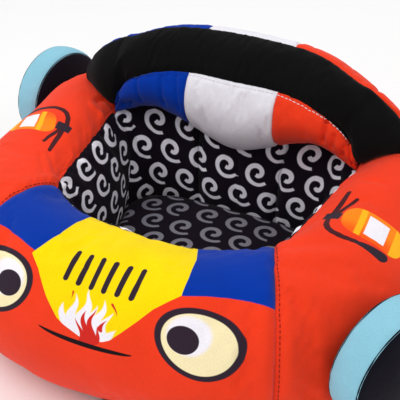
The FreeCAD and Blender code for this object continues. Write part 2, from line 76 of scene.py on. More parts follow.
# Ring from its front to its rear, one half: rim (across, along, height) and side (across, along)
RING_ROWS = (
    ((0.0, -107.0, 160.0), (0.0, -218.0)),
    ((59.5, -99.9, 158.4), (95.0, -211.5)),
    ((114.6, -64.0, 152.0), (165.0, -183.1)),
    ((126.2, -23.4, 150.4), (227.5, -106.8)),
    ((132.0, 20.9, 148.8), (250.0, -13.1)),
    ((139.2, 65.2, 147.2), (250.0, 80.7)),
    ((142.1, 107.0, 145.6), (240.0, 159.1)),
    ((95.7, 137.8, 140.8), (145.0, 211.5)),
    ((0.0, 139.0, 137.6), (0.0, 218.0)),
)
SEAM_ROW = 2
REAR_ROW = len(RING_ROWS) - 1
REAR_CORNER_ROW = REAR_ROW - 1.5
BACK_LINING_HALF = 55.0
RING_CORE_HEIGHT = 85.0
BASE_INSET = 42.0
WALL_LEAN = 14.0
RING_PITCH = 3.0
OUTER_SHARE = 0.6
FINE_STEPS = 1600
RING_RAYS = {"cover": 170, "lining": 70}
RING_RUNS = {"cover": 112, "lining": 48}

# Backrest, one half: along, then core, front seam, rear seam and underside (each along the depth, height)
BACKREST_ROWS = (
    (0.0, 139, 189, 104, 214, 155, 246, 181, 130),
    (50.0, 140, 191, 104, 214, 153, 245, 180, 130),
    (96.0, 132, 193, 97, 206, 142, 240, 179, 133),
    (130.9, 126, 183, 100, 182, 133, 229, 176, 136),
    (145.9, 126, 179, 101, 150, 130, 224, 171, 137),
    (164.9, 126, 178, 107, 151, 126, 214, 162, 142),
    (179.9, 126, 178, 114, 156, 126, 201, 150, 146),
    (187.2, 127, 176, 116, 164, 126, 189, 138, 158),
    (190.0, 127, 175, 123, 172, 129, 177, 131, 167),
)
BACKREST_HALF = 190.0
COLOUR_SEAM = 51.0
TIP = 145.0
TIP_COLUMNS = 20
TIP_CROWDING = 1.6
TIP_LIMIT = 0.998
BACKREST_PITCH = 1.3
BACKREST_RAYS = 110
BACKREST_RUNS = {"rear": 40, "top": 24, "front": 60}
RUN_BORDERS = (("top", "rear"), ("front", "top"), ("rear", "front"))

# Wheels, on the left: middle (across, along) and turn of the axle
WHEELS = {"rear": (259.0, 158.0, 12.0), "front": (244.0, -117.0, -27.0)}
WHEEL_RISE = 111.0
WHEEL_HALF = 16.0
WHEEL_RADIUS = 60.0
WHEEL_SEAM = 57.5
WHEEL_BULGE = 12.0
WHEEL_HUB_SHARE = 0.02
WHEEL_DOME_POWER = 2.6
WHEEL_TURNS = 144
WHEEL_ROWS = {"face": 22, "tread": 17}
WHEEL_SEEDS = {"outer_face": 3, "tread": 6, "inner_face": 9}
WHEEL_SEED_STEP = 40.0
WHEEL_WAVES = 50.0
WHEEL_CHECK = 150.0
WHEEL_ROOM = 0.5

# Seat pad
PAD_MIDDLE = (0.0, 11.0, 40.0)
PAD_TURNS = 144
PAD_RINGS = 44
PAD_ROOM = 1.0
PAD_ABOVE = 100.0
PAD_EDGE_SHARE = 0.86
PAD_ROUNDING = 0.999
PAD_TUCK = 14.0
PAD_FOOT = 3.0

# Filling and base
FILL_ROOM = 8.0
FILL_FOOT = 12.0
FILL_STEP = 4
QUILT_PITCH = 34.0
QUILT_DEPTH = 1.4
QUILT_WIDTH = 2.6
QUILT_FADE = (3.0, 9.0)
BASE_UNDERSIDE = 2.0
BASE_VOXEL = 2.6

# Zip, with its tapes' edges from the middle line
ZIP_LINE = 141.0
ZIP_HEIGHT = 4.6
ZIP_HALF = 120.0
TAPE_EDGES = (3.35, 13.6)
TAPE_HALF = 127.4
TAPE_THICK = 0.7
TAPE_COLUMNS = 180
TAPE_ROWS = 7
TAPE_WAVE = (0.12, 9.0)
COIL_MIDDLE = 1.93
COIL_HALF = (1.0, 0.70)
COIL_WIRE = 0.28
COIL_PITCH = 1.25
COIL_POINTS = 12
COIL_SIDES = 5

# Thread
ASLANT = (0.3, 0.2, 1.0)
THREAD_HALF = 0.45
THREAD_SIDES = 6
STITCH = 3.0
STITCH_PITCH = 4.8
STITCH_POINTS = 7
REST_THREAD_ROW = 3
FRONT_THREAD_ROWS = slice(20, RING_RUNS["cover"] - 1)

# Print of the front, pixels of the photograph on its edges
HOOD_RIGHT_EDGE = ((197, 258), (190, 277), (183, 295), (168, 302), (155, 308), (139.5, 319.5),
                   (122, 332), (111, 339), (104, 340.5))
HOOD_LEFT_EDGE = ((88, 216), (61, 232), (34, 252), (40, 267), (48, 294), (59, 316), (65.5, 322))
CORNER_LOWER_EDGE = ((183, 295), (200, 296), (220, 297), (240, 300), (260, 305), (277, 310))
HOOD_RIM_HALF = 56.0
HOOD_TIP_DOWN = 128.0

# Print of the front, across from the centre line and down from the rim
SLOT_PITCH = 13.0
SLOT_LIMIT = 39.0
SLOT_MIDDLE = 69.0
SLOT_REACH = 13.2
SLOT_HALF = 2.6
EYE_MIDDLE = (99.4, 115.0)
EYE_LEAN_DEG = 31.5
EYE_OUTER = (42.1, 26.0)
EYE_INNER = (35.3, 21.8)
PUPIL_MIDDLE = (86.4, 110.7)
PUPIL = (14.9, 10.5)
GLINT_MIDDLE = (90.5, 107.5)
GLINT = (20.5, 14.5)
GLINT_LIMIT = (33.3, 19.8)
GLINT_SOFT = 2.0
SMILE_HALF = 47.0
SMILE_DOWN = 130.5
SMILE_THICK = 4.5

# Flame: foot, tip and half width of each tongue; the last two red ones are sparks
FLAME_SWAY = (0.24, 2.2)
TONGUE_TIP = 0.1
PALE_SOFT = 0.8
RED_SOFT = 0.4
PALE_TONGUES = (
    ((-3, 122), (-5, 85), 9.0), ((-12, 123), (-17, 92), 7.5), ((-20, 119), (-27, 103), 5.5),
    ((8, 122), (12, 90), 8.5), ((14, 122), (20, 99), 7.0), ((17, 123), (30, 113), 4.5),
    ((2, 118), (4, 96), 7.0),
)
RED_TONGUES = (
    ((3, 128), (-4, 103), 6.0), ((6, 128), (4, 99), 5.0), ((-2, 128), (-9, 112), 3.6),
    ((10, 127), (13, 113), 3.0), ((15, 115), (19, 106), 2.4), ((-20, 91), (-22, 97), 0.9),
    ((19, 92), (24, 100), 1.3),
)

# Print of the sides, along the cushion and down from the rim
LAP_DOWN = 9.0
LAP_END = -105.0
BOTTLE_MIDDLE = (0.0, 75.5)
BOTTLE_HALF = (17.0, 32.5)
BOTTLE_CORNER = 14.0
BOTTLE_LEAN = (0.05, 0.22)
BOTTLE_SHIFT = (10.9, 3.0)
BOTTLE_GLOW = (-12.0, -30.0)
BOTTLE_END = 95.0
STRIPE = (58.5, 64.5)
STRIPE_SOFT = 0.8
LABEL_MIDDLE = (0.2, 77.8)
LABEL_HALF = (12.3, 10.6)
CLAMP_MIDDLE = (-13.5, 33.0)
CLAMP_HALF = (5.6, 8.6)
CLAMP_CORNER = 1.0
LEVERS = (((-8, 32), (27, 31), 3.2, 2.4), ((-8, 36), (17, 43), 2.4, 2.0))
HOSE = ((-19, 31.5), (-29, 35), (-36, 40.5), (-39.5, 47), (-41, 57), (-39.8, 70))
HOSE_HALF = 2.7
HORN = ((-39.8, 72), (-40, 98), 2.6, 5.6)

# Swirls of the lining: core and stroke are shares of the radius, the taper is one of the stroke
SWIRL_CELL = (37.0, 33.5)
SWIRL_RADIUS = 19.0
SWIRL_TURNS = 1.2
SWIRL_CORE_SHARE = 0.10
SWIRL_STROKE_SHARE = 0.16
SWIRL_TAPER_SHARE = 0.4
SWIRL_SHIFT = (1.2, 2.5)
SWIRL_JITTER = (3.0, 2.0, 0.7)
SWIRL_END_DEG = -52.0
SWIRL_SOFT = 0.03

# Dots of the base, in metres
DOT_PITCH = 0.008
DOT_EDGE = (0.0013, 0.0010)

# Sewing: depth and width of the valley along each kind of seam
SEAM_VALLEY = (2.4, 4.5)
RIM_VALLEY = (1.6, 3.5)
WALL_VALLEY = (2.2, 4.0)
REST_VALLEY = (1.8, 3.4)
REST_TOP_VALLEY = (0.9, 3.4)
COLOUR_VALLEY = (1.0, 3.0)
WHEEL_VALLEY = (1.0, 2.6)
BESIDE_SHARE = 0.25
BESIDE_WIDTHS = 2.6

# Puckers: depth, reach and seed of the waves beside each kind of seam
FRONT_PUCKERS = (1.0, 13.0, 1)
REAR_PUCKERS = (0.7, 12.0, 4)
RIM_PUCKERS = (0.35, 9.0, 5)
FOOT_PUCKERS = (1.4, 24.0, 6)
WALL_PUCKERS = (0.8, 10.0, 7)
HUNG_FOLDS = (3.0, 42.0, 11)
REST_PUCKERS = (0.45, 8.0, 2)
REAR_PANEL_PUCKERS = (0.25, 8.0, 2)
WHEEL_PUCKERS = (0.7, 9.0, 0)
FRONT_SHARES = (0.25, 0.75)
HUNG_STRETCH = 0.6
PUCKER_WAVES = ((9.1, 0.9), (13.7, 1.0), (22.3, 0.7))
PUCKER_TURN = 1.7
PUCKER_START = 1.5
PUCKER_SLANT = 0.25

# Stuffing: depth and seed of the lumps on each part, and how the cloth swells
COVER_LUMPS = (1.3, 0.7)
WALL_LUMPS = (0.78, 3.1)
REST_LUMPS = (0.52, 1.9)
LUMP_LENGTHS = (62, 79, 96, 113, 130)
LUMP_TURN = 2.4
LUMP_RISE = (0.6, 2.3)
RIM_HOLD = 5.0
FOLD_HEIGHT = 15.0
CLOTH_CAP = 4.5
CLOTH_STEPS = 20
CLOTH_SETTINGS = {
    "quality": 4, "mass": 0.2, "tension_stiffness": 15, "compression_stiffness": 15, "shear_stiffness": 5,
    "bending_stiffness": 0.4, "use_pressure": True, "uniform_pressure_force": 4, "shrink_min": -0.02,
    "vertex_group_mass": "seams",
}

# Folds: pixels of both ends, then depth and half width
RING_FOLDS = (
    ((99, 99), (112, 118), 5.0, 3.4), ((93, 103), (104, 119), -2.5, 4.0), ((106, 98), (114, 107), 3.0, 3.0),
    ((40, 152), (44, 172), 1.4, 3.4), ((50, 150), (56, 174), 1.6, 3.4), ((279, 288), (297, 296), 1.6, 2.8),
    ((279, 297), (301, 306), 1.9, 3.0), ((280, 307), (298, 318), 1.8, 3.0),
    ((280, 318), (296, 330), 1.4, 2.8),
    ((363, 178), (384, 184), 1.6, 3.5),
)
REST_FOLDS = (
    ((161, 76), (164, 104), 3.0, 2.6), ((176, 76), (179, 108), 2.4, 2.6), ((125, 82), (131, 103), 3.0, 2.4),
    ((118, 87), (124, 105), 3.2, 2.4), ((137, 78), (141, 101), 2.4, 2.4), ((327, 121), (322, 142), 5.0, 2.6),
    ((334, 136), (331, 148), 3.0, 2.4), ((344, 147), (341, 157), 3.2, 2.4),
    ((352, 158), (349, 165), 2.6, 2.2),
    ((307, 112), (304, 136), 1.4, 3.4),
)

# Looks: soft edge of the print, finishes, noises (scale, detail, roughness) and colours
PAINT_SOFT = 0.35
CURVE_ROOM = 1.02
PLUSH_LOOK = {"Roughness": 0.92, "Specular IOR Level": 0.06, "Sheen Roughness": 0.45}
LACQUER_LOOK = {"Metallic": 0.6, "Roughness": 0.32}
COIL_LOOK = {"Roughness": 0.38}
FLOOR_LOOK = {"Roughness": 0.9}
PATCH_NOISE = (26, 2.0, 0.5)
GRAIN_NOISE = (900, 2.0, 0.7)
GRAIN_SHARES = (0.3, 0.85)
PILE_NOISE = (1400, 2.0, 0.75)
PILE_BUMP = {"Strength": 0.6, "Distance": 0.0006}
WEAR_NOISE = (900, 4.0, 0.7)
WEAR_EDGE = (0.62, 0.72)
COIL_NOISE = (700, 2.0, 0.5)
INKS = {
    "red": (0.86, 0.046, 0.013),
    "blue": (0.0, 0.034, 0.34),
    "yellow": (0.95, 0.68, 0.001),
    "dark": (0.030, 0.018, 0.030),
    "black": (0.008, 0.005, 0.007),
    "pale": (0.88, 0.84, 0.90),
    "ember": (0.62, 0.022, 0.016),
    "cream": (0.93, 0.80, 0.48),
    "white": (0.90, 0.86, 0.93),
    "orange": (1.0, 0.24, 0.008),
    "deep_orange": (1.0, 0.11, 0.006),
    "amber": (1.0, 0.47, 0.012),
    "plum": (0.060, 0.012, 0.016),
    "night": (0.010, 0.006, 0.012),
    "lilac": (0.93, 0.90, 0.98),
    # The next ink is the lilac of the swirls darkened as painted shade, for the seat pad deep in the well
    "painted_shade_lilac": (0.24, 0.23, 0.27),
    "panel_white": (0.80, 0.78, 0.84),
    "velvet": (0.0035, 0.0035, 0.004),
    "light_blue": (0.26, 0.55, 0.68),
    "wheel_black": (0.006, 0.005, 0.010),
    "fibre": (0.72, 0.72, 0.70),
    "tape": (0.012, 0.012, 0.013),
    "thread": (0.30, 0.018, 0.014),
    "base": (0.022, 0.022, 0.026),
    "dot": (0.075, 0.075, 0.082),
    "lacquer": (0.012, 0.012, 0.013),
    "worn": (0.09, 0.09, 0.095),
    "coil": (0.014, 0.014, 0.015),
    "pale_coil": (0.028, 0.028, 0.030),
    "floor": (0.93, 0.93, 0.93),
}


# Lines and grids of points


def tree_of(*names):
    """Tree of the faces of some frame pieces, for rays."""
    corners = []
    faces = []
    for name in names:
        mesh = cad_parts[name].data
        start = len(corners)
        corners += [v.co.copy() for v in mesh.vertices]
        faces += [[start + i for i in p.vertices] for p in mesh.polygons]
    return BVHTree.FromPolygons(corners, faces)


def grid_tree(grid, faces):
    """Tree of the faces of a grid, for rays."""
    return BVHTree.FromPolygons([Vector(p) for p in grid.reshape(-1, 3)], faces.tolist())


def unit(vectors):
    """Directions of some vectors."""
    return vectors / np.maximum(np.linalg.norm(vectors, axis=-1, keepdims=True), 1e-12)


def spline(values, places, closed):
    """Smooth curve through evenly spaced rows of values, read at some places."""
    values = np.array(values, float)
    count = len(values)
    one = np.eye(count)
    system = 4 * one + np.roll(one, 1, 0) + np.roll(one, -1, 0)
    load = 6 * (np.roll(values, 1, 0) - 2 * values + np.roll(values, -1, 0))
    if not closed:
        system[[0, -1]] = one[[0, -1]]
        load[[0, -1]] = 0
    bend = np.linalg.solve(system, load)
    low = np.floor(places).astype(int)
    if not closed:
        low = np.clip(low, 0, count - 2)
    part = (places - low)[:, None]
    a = low % count
    b = (low + 1) % count
    straight = values[a] * (1 - part) + values[b] * part
    return straight - part * (1 - part) / 6 * ((2 - part) * bend[a] + (1 + part) * bend[b])


def run_of(points, axis=0):
    """Distance from the first point, along a line or along one axis of a grid."""
    steps = np.linalg.norm(np.diff(points, axis=axis), axis=-1)
    return np.concatenate([np.zeros_like(steps.take([0], axis)), np.cumsum(steps, axis)], axis)


def read_line(line, run, places):
    """Points of a line at some distances along it."""
    return np.stack([np.interp(places, run, line[:, k]) for k in range(3)], 1)


def resample(line, count):
    """Points along a line, closer together at both ends, and their distances along it."""
    run = run_of(line)
    even = np.linspace(0, 1, count + 1)
    places = (even - CROWDING * np.sin(2 * math.pi * even)) * run[-1]
    return read_line(line, run, places), places


def fan(tree, core, out, angles, room):
    """Points beyond a surface, at angles round a core in the upright plane through one direction."""
    found = []
    for angle in angles:
        ray = Vector((out[0] * math.cos(angle), out[1] * math.cos(angle), math.sin(angle)))
        hit = tree.ray_cast(Vector(core), ray, RAY_REACH * MM)
        found.append(hit[3] if hit[3] is not None else np.nan)
    found = np.array(found)
    lost = np.isnan(found)
    if lost.any():
        found[lost] = np.interp(np.flatnonzero(lost), np.flatnonzero(~lost), found[~lost])
    found = found + room * MM
    along = found * np.cos(angles)
    up = found * np.sin(angles)
    return np.stack([core[0] + out[0] * along, core[1] + out[1] * along, core[2] + up], 1)


def smoothed(grid, closed=False):
    """Grid of points evened out between its borders."""
    for turn in range(SMOOTH_ROUNDS):
        if closed:
            grid = 0.5 * grid + 0.25 * (np.roll(grid, 1, 0) + np.roll(grid, -1, 0))
        else:
            grid[1:-1] = 0.5 * grid[1:-1] + 0.25 * (grid[:-2] + grid[2:])
        grid[:, 1:-1] = 0.5 * grid[:, 1:-1] + 0.25 * (grid[:, :-2] + grid[:, 2:])
    return grid


def grid_normals(grid, closed):
    """Directions square to a grid at each of its points."""
    across = np.roll(grid, -1, 0) - np.roll(grid, 1, 0) if closed else np.gradient(grid, axis=0)
    return unit(np.cross(across, np.gradient(grid, axis=1)))


def doubled(grid, axis, closed):
    """Grid with a value put between every two neighbours along one axis."""
    grid = np.moveaxis(grid, axis, 0)
    before = grid if closed else grid[:-1]
    after = np.roll(grid, -1, 0) if closed else grid[1:]
    pairs = np.stack([before, 0.5 * (before + after)], 1).reshape(-1, *grid.shape[1:])
    if not closed:
        pairs = np.concatenate([pairs, grid[-1:]])
    return np.moveaxis(pairs, 0, axis)


def from_column(grid, column, closed):
    """Distance of every point from one column, along its row."""
    run = run_of(np.concatenate([grid, grid[:1]]) if closed else grid)
    gap = np.abs(run - run[column % len(grid)])
    return np.minimum(gap, run[-1] - gap)[:-1] if closed else gap


def from_row(grid, row):
    """Distance of every point from one row, along its column."""
    run = run_of(grid, 1)
    return np.abs(run - run[:, [row]])


# Sewing


def lumps(points, kind):
    """Soft unevenness of stuffing."""
    depth, seed = kind
    total = 0
    for k, length in enumerate(LUMP_LENGTHS):
        turn = seed + LUMP_TURN * k
        way = np.array([math.cos(turn), math.sin(turn), LUMP_RISE[0] * math.cos(LUMP_RISE[1] * turn)])
        total = total + np.sin(2 * math.pi * (points @ way) / (length * MM) + turn)
    return depth * MM * total / len(LUMP_LENGTHS)


def valley(gap, size):
    """Fall of the cloth towards a seam, with the stuffing's swell beside it."""
    depth, width = size
    far = gap / MM / width
    return depth * MM * (BESIDE_SHARE * np.exp(-(far - BESIDE_WIDTHS) ** 2) - np.exp(-far ** 2))


def puckers(gap, along, kind, seed=0):
    """Uneven ripples that run away from a seam and fade."""
    depth, reach, first_seed = kind
    total = 0
    for k, (length, share) in enumerate(PUCKER_WAVES):
        turn = PUCKER_TURN * (first_seed + seed) * (k + 1)
        total = total + share * np.sin(2 * math.pi * (along + PUCKER_SLANT * gap) / (length * MM) + turn)
    ripple = total / sum(share for length, share in PUCKER_WAVES)
    far = gap / MM
    return depth * MM * np.exp(-far / reach) * (1 - np.exp(-far / PUCKER_START)) * ripple


def folds(points, out, photo, lines):
    """Depth of the folds between pairs of pixels."""
    total = np.zeros(points.shape[:-1])
    for first, last, depth, width in lines:
        start, end = (np.array(photo.hit(pixel)[0]) for pixel in (first, last))
        run = end - start
        share = np.clip((points - start) @ run / (run @ run), 0, 1)
        off = points - start - share[..., None] * run
        rise = (off * out).sum(-1, keepdims=True)
        gap = np.linalg.norm(off - rise * out, axis=-1) / MM
        beside = np.abs(rise[..., 0]) < FOLD_HEIGHT * MM
        total -= depth * MM * np.exp(-(gap / width) ** 2) * beside
    return total


def swell(skin, pinned):
    """Shift of each point of a skin, closed one way, as its stuffing presses it out between seams."""
    half = skin[::2, ::2]
    points = half.reshape(-1, 3)
    piece = add_mesh("swelling", points, grid_faces(*half.shape[:2], closed=True))
    seams = piece.vertex_groups.new(name="seams")
    seams.add([int(i) for i in np.flatnonzero(pinned[::2, ::2])], 1.0, "REPLACE")
    modifier = piece.modifiers.new("Cloth", "CLOTH")
    for name, value in CLOTH_SETTINGS.items():
        setattr(modifier.settings, name, value)
    modifier.settings.effector_weights.gravity = 0
    modifier.collision_settings.use_collision = False
    modifier.point_cache.frame_start = 1
    modifier.point_cache.frame_end = CLOTH_STEPS
    stage = bpy.context.scene
    for step in range(1, CLOTH_STEPS + 1):
        stage.frame_set(step)
    final = piece.evaluated_get(bpy.context.evaluated_depsgraph_get()).data
    moved = np.zeros(points.size, np.float32)
    final.vertices.foreach_get("co", moved)
    bpy.data.objects.remove(piece)
    stage.frame_set(1)
    shift = moved.reshape(-1, 3).astype(float) - points
    size = np.linalg.norm(shift, axis=1, keepdims=True) / (CLOTH_CAP * MM)
    shift = shift * np.tanh(size) / np.maximum(size, 1e-6)
    return doubled(doubled(shift.reshape(half.shape), 0, True), 1, False)


# Meshes


def grid_faces(columns, rows, closed=False):
    """Four-cornered faces of a grid of points kept column by column."""
    i = np.arange(columns if closed else columns - 1)[:, None]
    j = np.arange(rows - 1)[None, :]
    here = (i * rows + j).ravel()
    beside = (((i + 1) % columns) * rows + j).ravel()
    return np.stack([here, beside, beside + 1, here + 1], 1)


def add_mesh(name, points, faces, cloth=None):
    """Object from points and faces, with a map of the cloth in metres if one is given."""
    mesh = bpy.data.meshes.new(name)
    mesh.from_pydata(points.tolist(), [], faces if isinstance(faces, list) else faces.tolist())
    if cloth is not None:
        layer = mesh.uv_layers.new(name="Cloth")
        corners = np.zeros(len(mesh.loops), np.int32)
        mesh.loops.foreach_get("vertex_index", corners)
        layer.data.foreach_set("uv", cloth[corners].astype(np.float32).ravel())
    mesh.polygons.foreach_set("use_smooth", np.ones(len(mesh.polygons), bool))
    mesh.update()
    mesh.validate()
    piece = bpy.data.objects.new(name, mesh)
    bpy.context.scene.collection.objects.link(piece)
    return piece


def add_skin(name, grid, cloth, thickness=SKIN, closed=False):
    """Closed piece of cloth: a grid of outer points, an inner one and the edges between them."""
    columns, rows = grid.shape[:2]
    grid = grid.copy()
    for axis in (1,) if closed else (0, 1):
        lines = np.moveaxis(grid, axis, 0)
        lines[0] += SEAM_ROOM * MM * unit(lines[1] - lines[0])
        lines[-1] += SEAM_ROOM * MM * unit(lines[-2] - lines[-1])
    inner = grid - thickness * MM * grid_normals(grid, closed)
    outside = grid_faces(columns, rows, closed)
    count = columns * rows
    i = np.arange(columns if closed else columns - 1)
    low = i * rows
    beside = ((i + 1) % columns) * rows
    faces = [outside, outside[:, ::-1] + count,
             np.stack([low, low + count, beside + count, beside], 1),
             np.stack([beside, beside + count, low + count, low], 1) + rows - 1]
    if not closed:
        j = np.arange(rows - 1)
        end = np.stack([j, j + 1, j + 1 + count, j + count], 1)
        faces += [end, end[:, ::-1] + (columns - 1) * rows]
    points = np.concatenate([grid.reshape(-1, 3), inner.reshape(-1, 3)])
    return add_mesh(name, points, np.concatenate(faces), np.concatenate([cloth.reshape(-1, 2)] * 2))


def tube(points, half, sides):
    """Points and faces of a round tube along a line."""
    run = unit(np.gradient(points, axis=0))
    side = unit(np.cross(run, ASLANT))
    other = np.cross(run, side)
    angles = (2 * math.pi * np.arange(sides) / sides)[:, None, None]
    rings = points + half * (np.cos(angles) * side + np.sin(angles) * other)
    count = len(points)
    ends = [[k * count for k in range(sides)][::-1], [k * count + count - 1 for k in range(sides)]]
    return rings.reshape(-1, 3), grid_faces(sides, count, closed=True).tolist() + ends


def dress(piece, material, nodes):
    """Finish one piece: its material, its body and the frame pieces that it stands for."""
    piece.data.materials.append(material)
    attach(piece, "cushion")
    if nodes:
        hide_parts(*nodes)


# The ring, the photograph's pixels and the backrest


def spaced(stops, pitch, marks):
    """Places between stops, an even number to every stretch; marks gets the stops' own numbers."""
    places = [stops[0]]
    for low, high in zip(stops[:-1], stops[1:]):
        count = 2 * max(2, round((high - low) / pitch / 2))
        places += list(np.linspace(low, high, count + 1)[1:])
        marks.append(len(places) - 1)
    return places


def signed_mark(marks, number):
    """Column of a seam, counted from the middle one; negative numbers lie on the right."""
    return int(math.copysign(marks[abs(number)], number))


class Ring:
    """Skin of the ring: columns go round it, rows from the cover's foot over the rim to the wall's foot."""

    def __init__(self):
        left = np.array([(*rim, *side) for rim, side in RING_ROWS])
        self.rows = np.concatenate([left, left[REAR_ROW - 1:0:-1] * (-1, 1, 1, -1, 1)])
        self.marks = [0]
        self.columns = self.find_columns()
        self.shape()

    def find_columns(self):
        """Row numbers of all columns, with one on every seam."""
        fine = np.linspace(0, REAR_ROW, FINE_STEPS + 1)
        lines = spline(self.rows, fine, True)
        run = run_of((1 - OUTER_SHARE) * lines[:, :2] + OUTER_SHARE * lines[:, 3:])
        past_corner = fine > REAR_CORNER_ROW
        back_seam = np.interp(-BACK_LINING_HALF, -lines[past_corner, 0], fine[past_corner])
        stops = np.interp([0, SEAM_ROW, back_seam, REAR_ROW], fine, run)
        half = np.interp(spaced(stops, RING_PITCH, self.marks), run, fine)
        return np.concatenate([half, 2 * REAR_ROW - half[-2:0:-1]])

    def shape(self):
        """Points of the skin and the cloth's own map."""
        tree = tree_of("ring_filling")
        grids = {part: [] for part in RING_RUNS}
        runs = {part: [] for part in RING_RUNS}
        for row in spline(self.rows, self.columns, True) * MM:
            rim, side = row[:3], row[3:]
            wide = np.linalg.norm(side - rim[:2])
            out = (side - rim[:2]) / wide
            core = np.array([*(rim[:2] + out * wide / 2), RING_CORE_HEIGHT * MM])
            fall = BASE_TOP * MM - core[2]
            foot_angle = math.atan2(fall, wide / 2 - (BASE_INSET + SKIN_ROOM) * MM)
            rim_angle = math.atan2(rim[2] - core[2], -wide / 2)
            wall_angle = 2 * math.pi + math.atan2(fall, (SKIN_ROOM - WALL_LEAN) * MM - wide / 2)
            for part, low, high in (("cover", foot_angle, rim_angle), ("lining", rim_angle, wall_angle)):
                points = fan(tree, core, out, np.linspace(low, high, RING_RAYS[part]), SKIN_ROOM)
                points[:, 2] = np.maximum(points[:, 2], BASE_TOP * MM)
                line, run = resample(points, RING_RUNS[part])
                grids[part].append(line)
                runs[part].append(run)
        self.cover, self.lining = (smoothed(np.array(grid), closed=True) for grid in grids.values())
        self.lining[:, 0] = self.cover[:, -1]
        cover_run, self.lining_run = (np.array(run) for run in runs.values())
        self.cover_run = cover_run[:, -1:] - cover_run
        self.round = self.run_round(0.5 * (self.lining[:, 0] + self.lining[:, RING_RUNS["lining"] // 2]))
        self.rim_round = self.run_round(self.cover[:, -1])

    def run_round(self, line):
        """Distance along a closed line from the front middle, negative on the right."""
        run = run_of(np.concatenate([line, line[:1]]))
        return np.where(run > run[-1] / 2, run - run[-1], run)[:-1]

    def stuff(self, photo):
        """Swell the skin between its seams, then sew and fold it."""
        front, back, rear = self.marks[1:]
        rim = RING_RUNS["cover"]
        skin = np.concatenate([self.cover, self.lining[:, 1:]], 1)
        pinned = np.zeros(skin.shape[:2], bool)
        pinned[:, [0, rim, -1]] = True
        pinned[[front, -front, rear]] = True
        pinned[[back, -back], rim:] = True
        shift = swell(skin, pinned)
        self.cover = self.cover + shift[:, :rim + 1]
        self.lining = self.lining + shift[:, rim:]
        self.sew_cover(photo, front, rear)
        self.sew_lining((front, -front, back, -back))

    def sew_cover(self, photo, front, rear):
        """Seams, lumps and folds of the cover; its rim takes the lining's with it."""
        out = grid_normals(self.cover, True)
        down = self.cover_run
        around = self.rim_round[:, None]
        raised = lumps(self.cover, COVER_LUMPS) + folds(self.cover, out, photo, RING_FOLDS)
        share = np.full((len(self.columns), 1), FRONT_SHARES[1])
        share[self.stretch(-1, 1)] = FRONT_SHARES[0]
        for seed, column in enumerate((front, -front)):
            gap = from_column(self.cover, column, True)
            raised += valley(gap, SEAM_VALLEY) + share * puckers(gap, down, FRONT_PUCKERS, seed)
        gap = from_column(self.cover, rear, True)
        raised += valley(gap, SEAM_VALLEY) + puckers(gap, down, REAR_PUCKERS)
        raised += valley(down, RIM_VALLEY) + puckers(down, around, RIM_PUCKERS)
        raised += puckers(from_row(self.cover, 0), around, FOOT_PUCKERS)
        shift = out * raised[:, :, None]
        self.rim_shift = shift[:, -1:]
        self.cover = self.cover + shift

    def sew_lining(self, seams):
        """Seams, lumps and hanging folds of the lining, held by the cover at the rim."""
        out = grid_normals(self.lining, True)
        down = self.lining_run
        raised = lumps(self.lining, WALL_LUMPS) + valley(down, RIM_VALLEY)
        raised += puckers(down, HUNG_STRETCH * self.round[:, None], HUNG_FOLDS)
        for seed, column in enumerate(seams):
            gap = from_column(self.lining, column, True)
            raised += valley(gap, WALL_VALLEY) + puckers(gap, down, WALL_PUCKERS, seed)
        held = np.exp(-(down / MM / RIM_HOLD) ** 2)[:, :, None]
        self.lining = self.lining + out * raised[:, :, None] * (1 - held) + self.rim_shift * held
        self.lining[:, 0] = self.cover[:, -1]

    def stretch(self, low, high):
        """Column numbers from one seam to another; negative seams lie on the right."""
        count = len(self.columns)
        first = signed_mark(self.marks, low)
        last = signed_mark(self.marks, high)
        return np.arange(first, last + 1 + (count if last <= first else 0)) % count


class Photo:
    """Pixels of the photograph, found again on one skin."""

    def __init__(self, grid, run=None):
        self.points = grid.reshape(-1, 3)
        self.run = run
        self.faces = grid_faces(*grid.shape[:2], closed=run is not None)
        self.tree = grid_tree(grid, self.faces)
        self.place = camera_place()

    def hit(self, pixel):
        """Where the camera's ray through one pixel meets the skin."""
        half = PHOTO_SIDE / 2
        focus = CAMERA_LENS / CAMERA_SENSOR * PHOTO_SIDE
        ray = self.place.to_3x3() @ Vector((pixel[0] - half, half - pixel[1], -focus))
        return self.tree.ray_cast(self.place.translation, ray.normalized(), PHOTO_REACH)

    def spot(self, pixel):
        """Where a pixel lies on the cloth: down from the rim and across from the centre line."""
        place, _, face, _ = self.hit(pixel)
        corners = self.faces[face]
        reach = np.linalg.norm(self.points[corners] - np.array(place), axis=1)
        weight = 1 / np.maximum(reach, 1e-6) ** 2
        down = (self.run.reshape(-1)[corners] * weight).sum() / weight.sum()
        return down / MM, abs(place.x) / MM


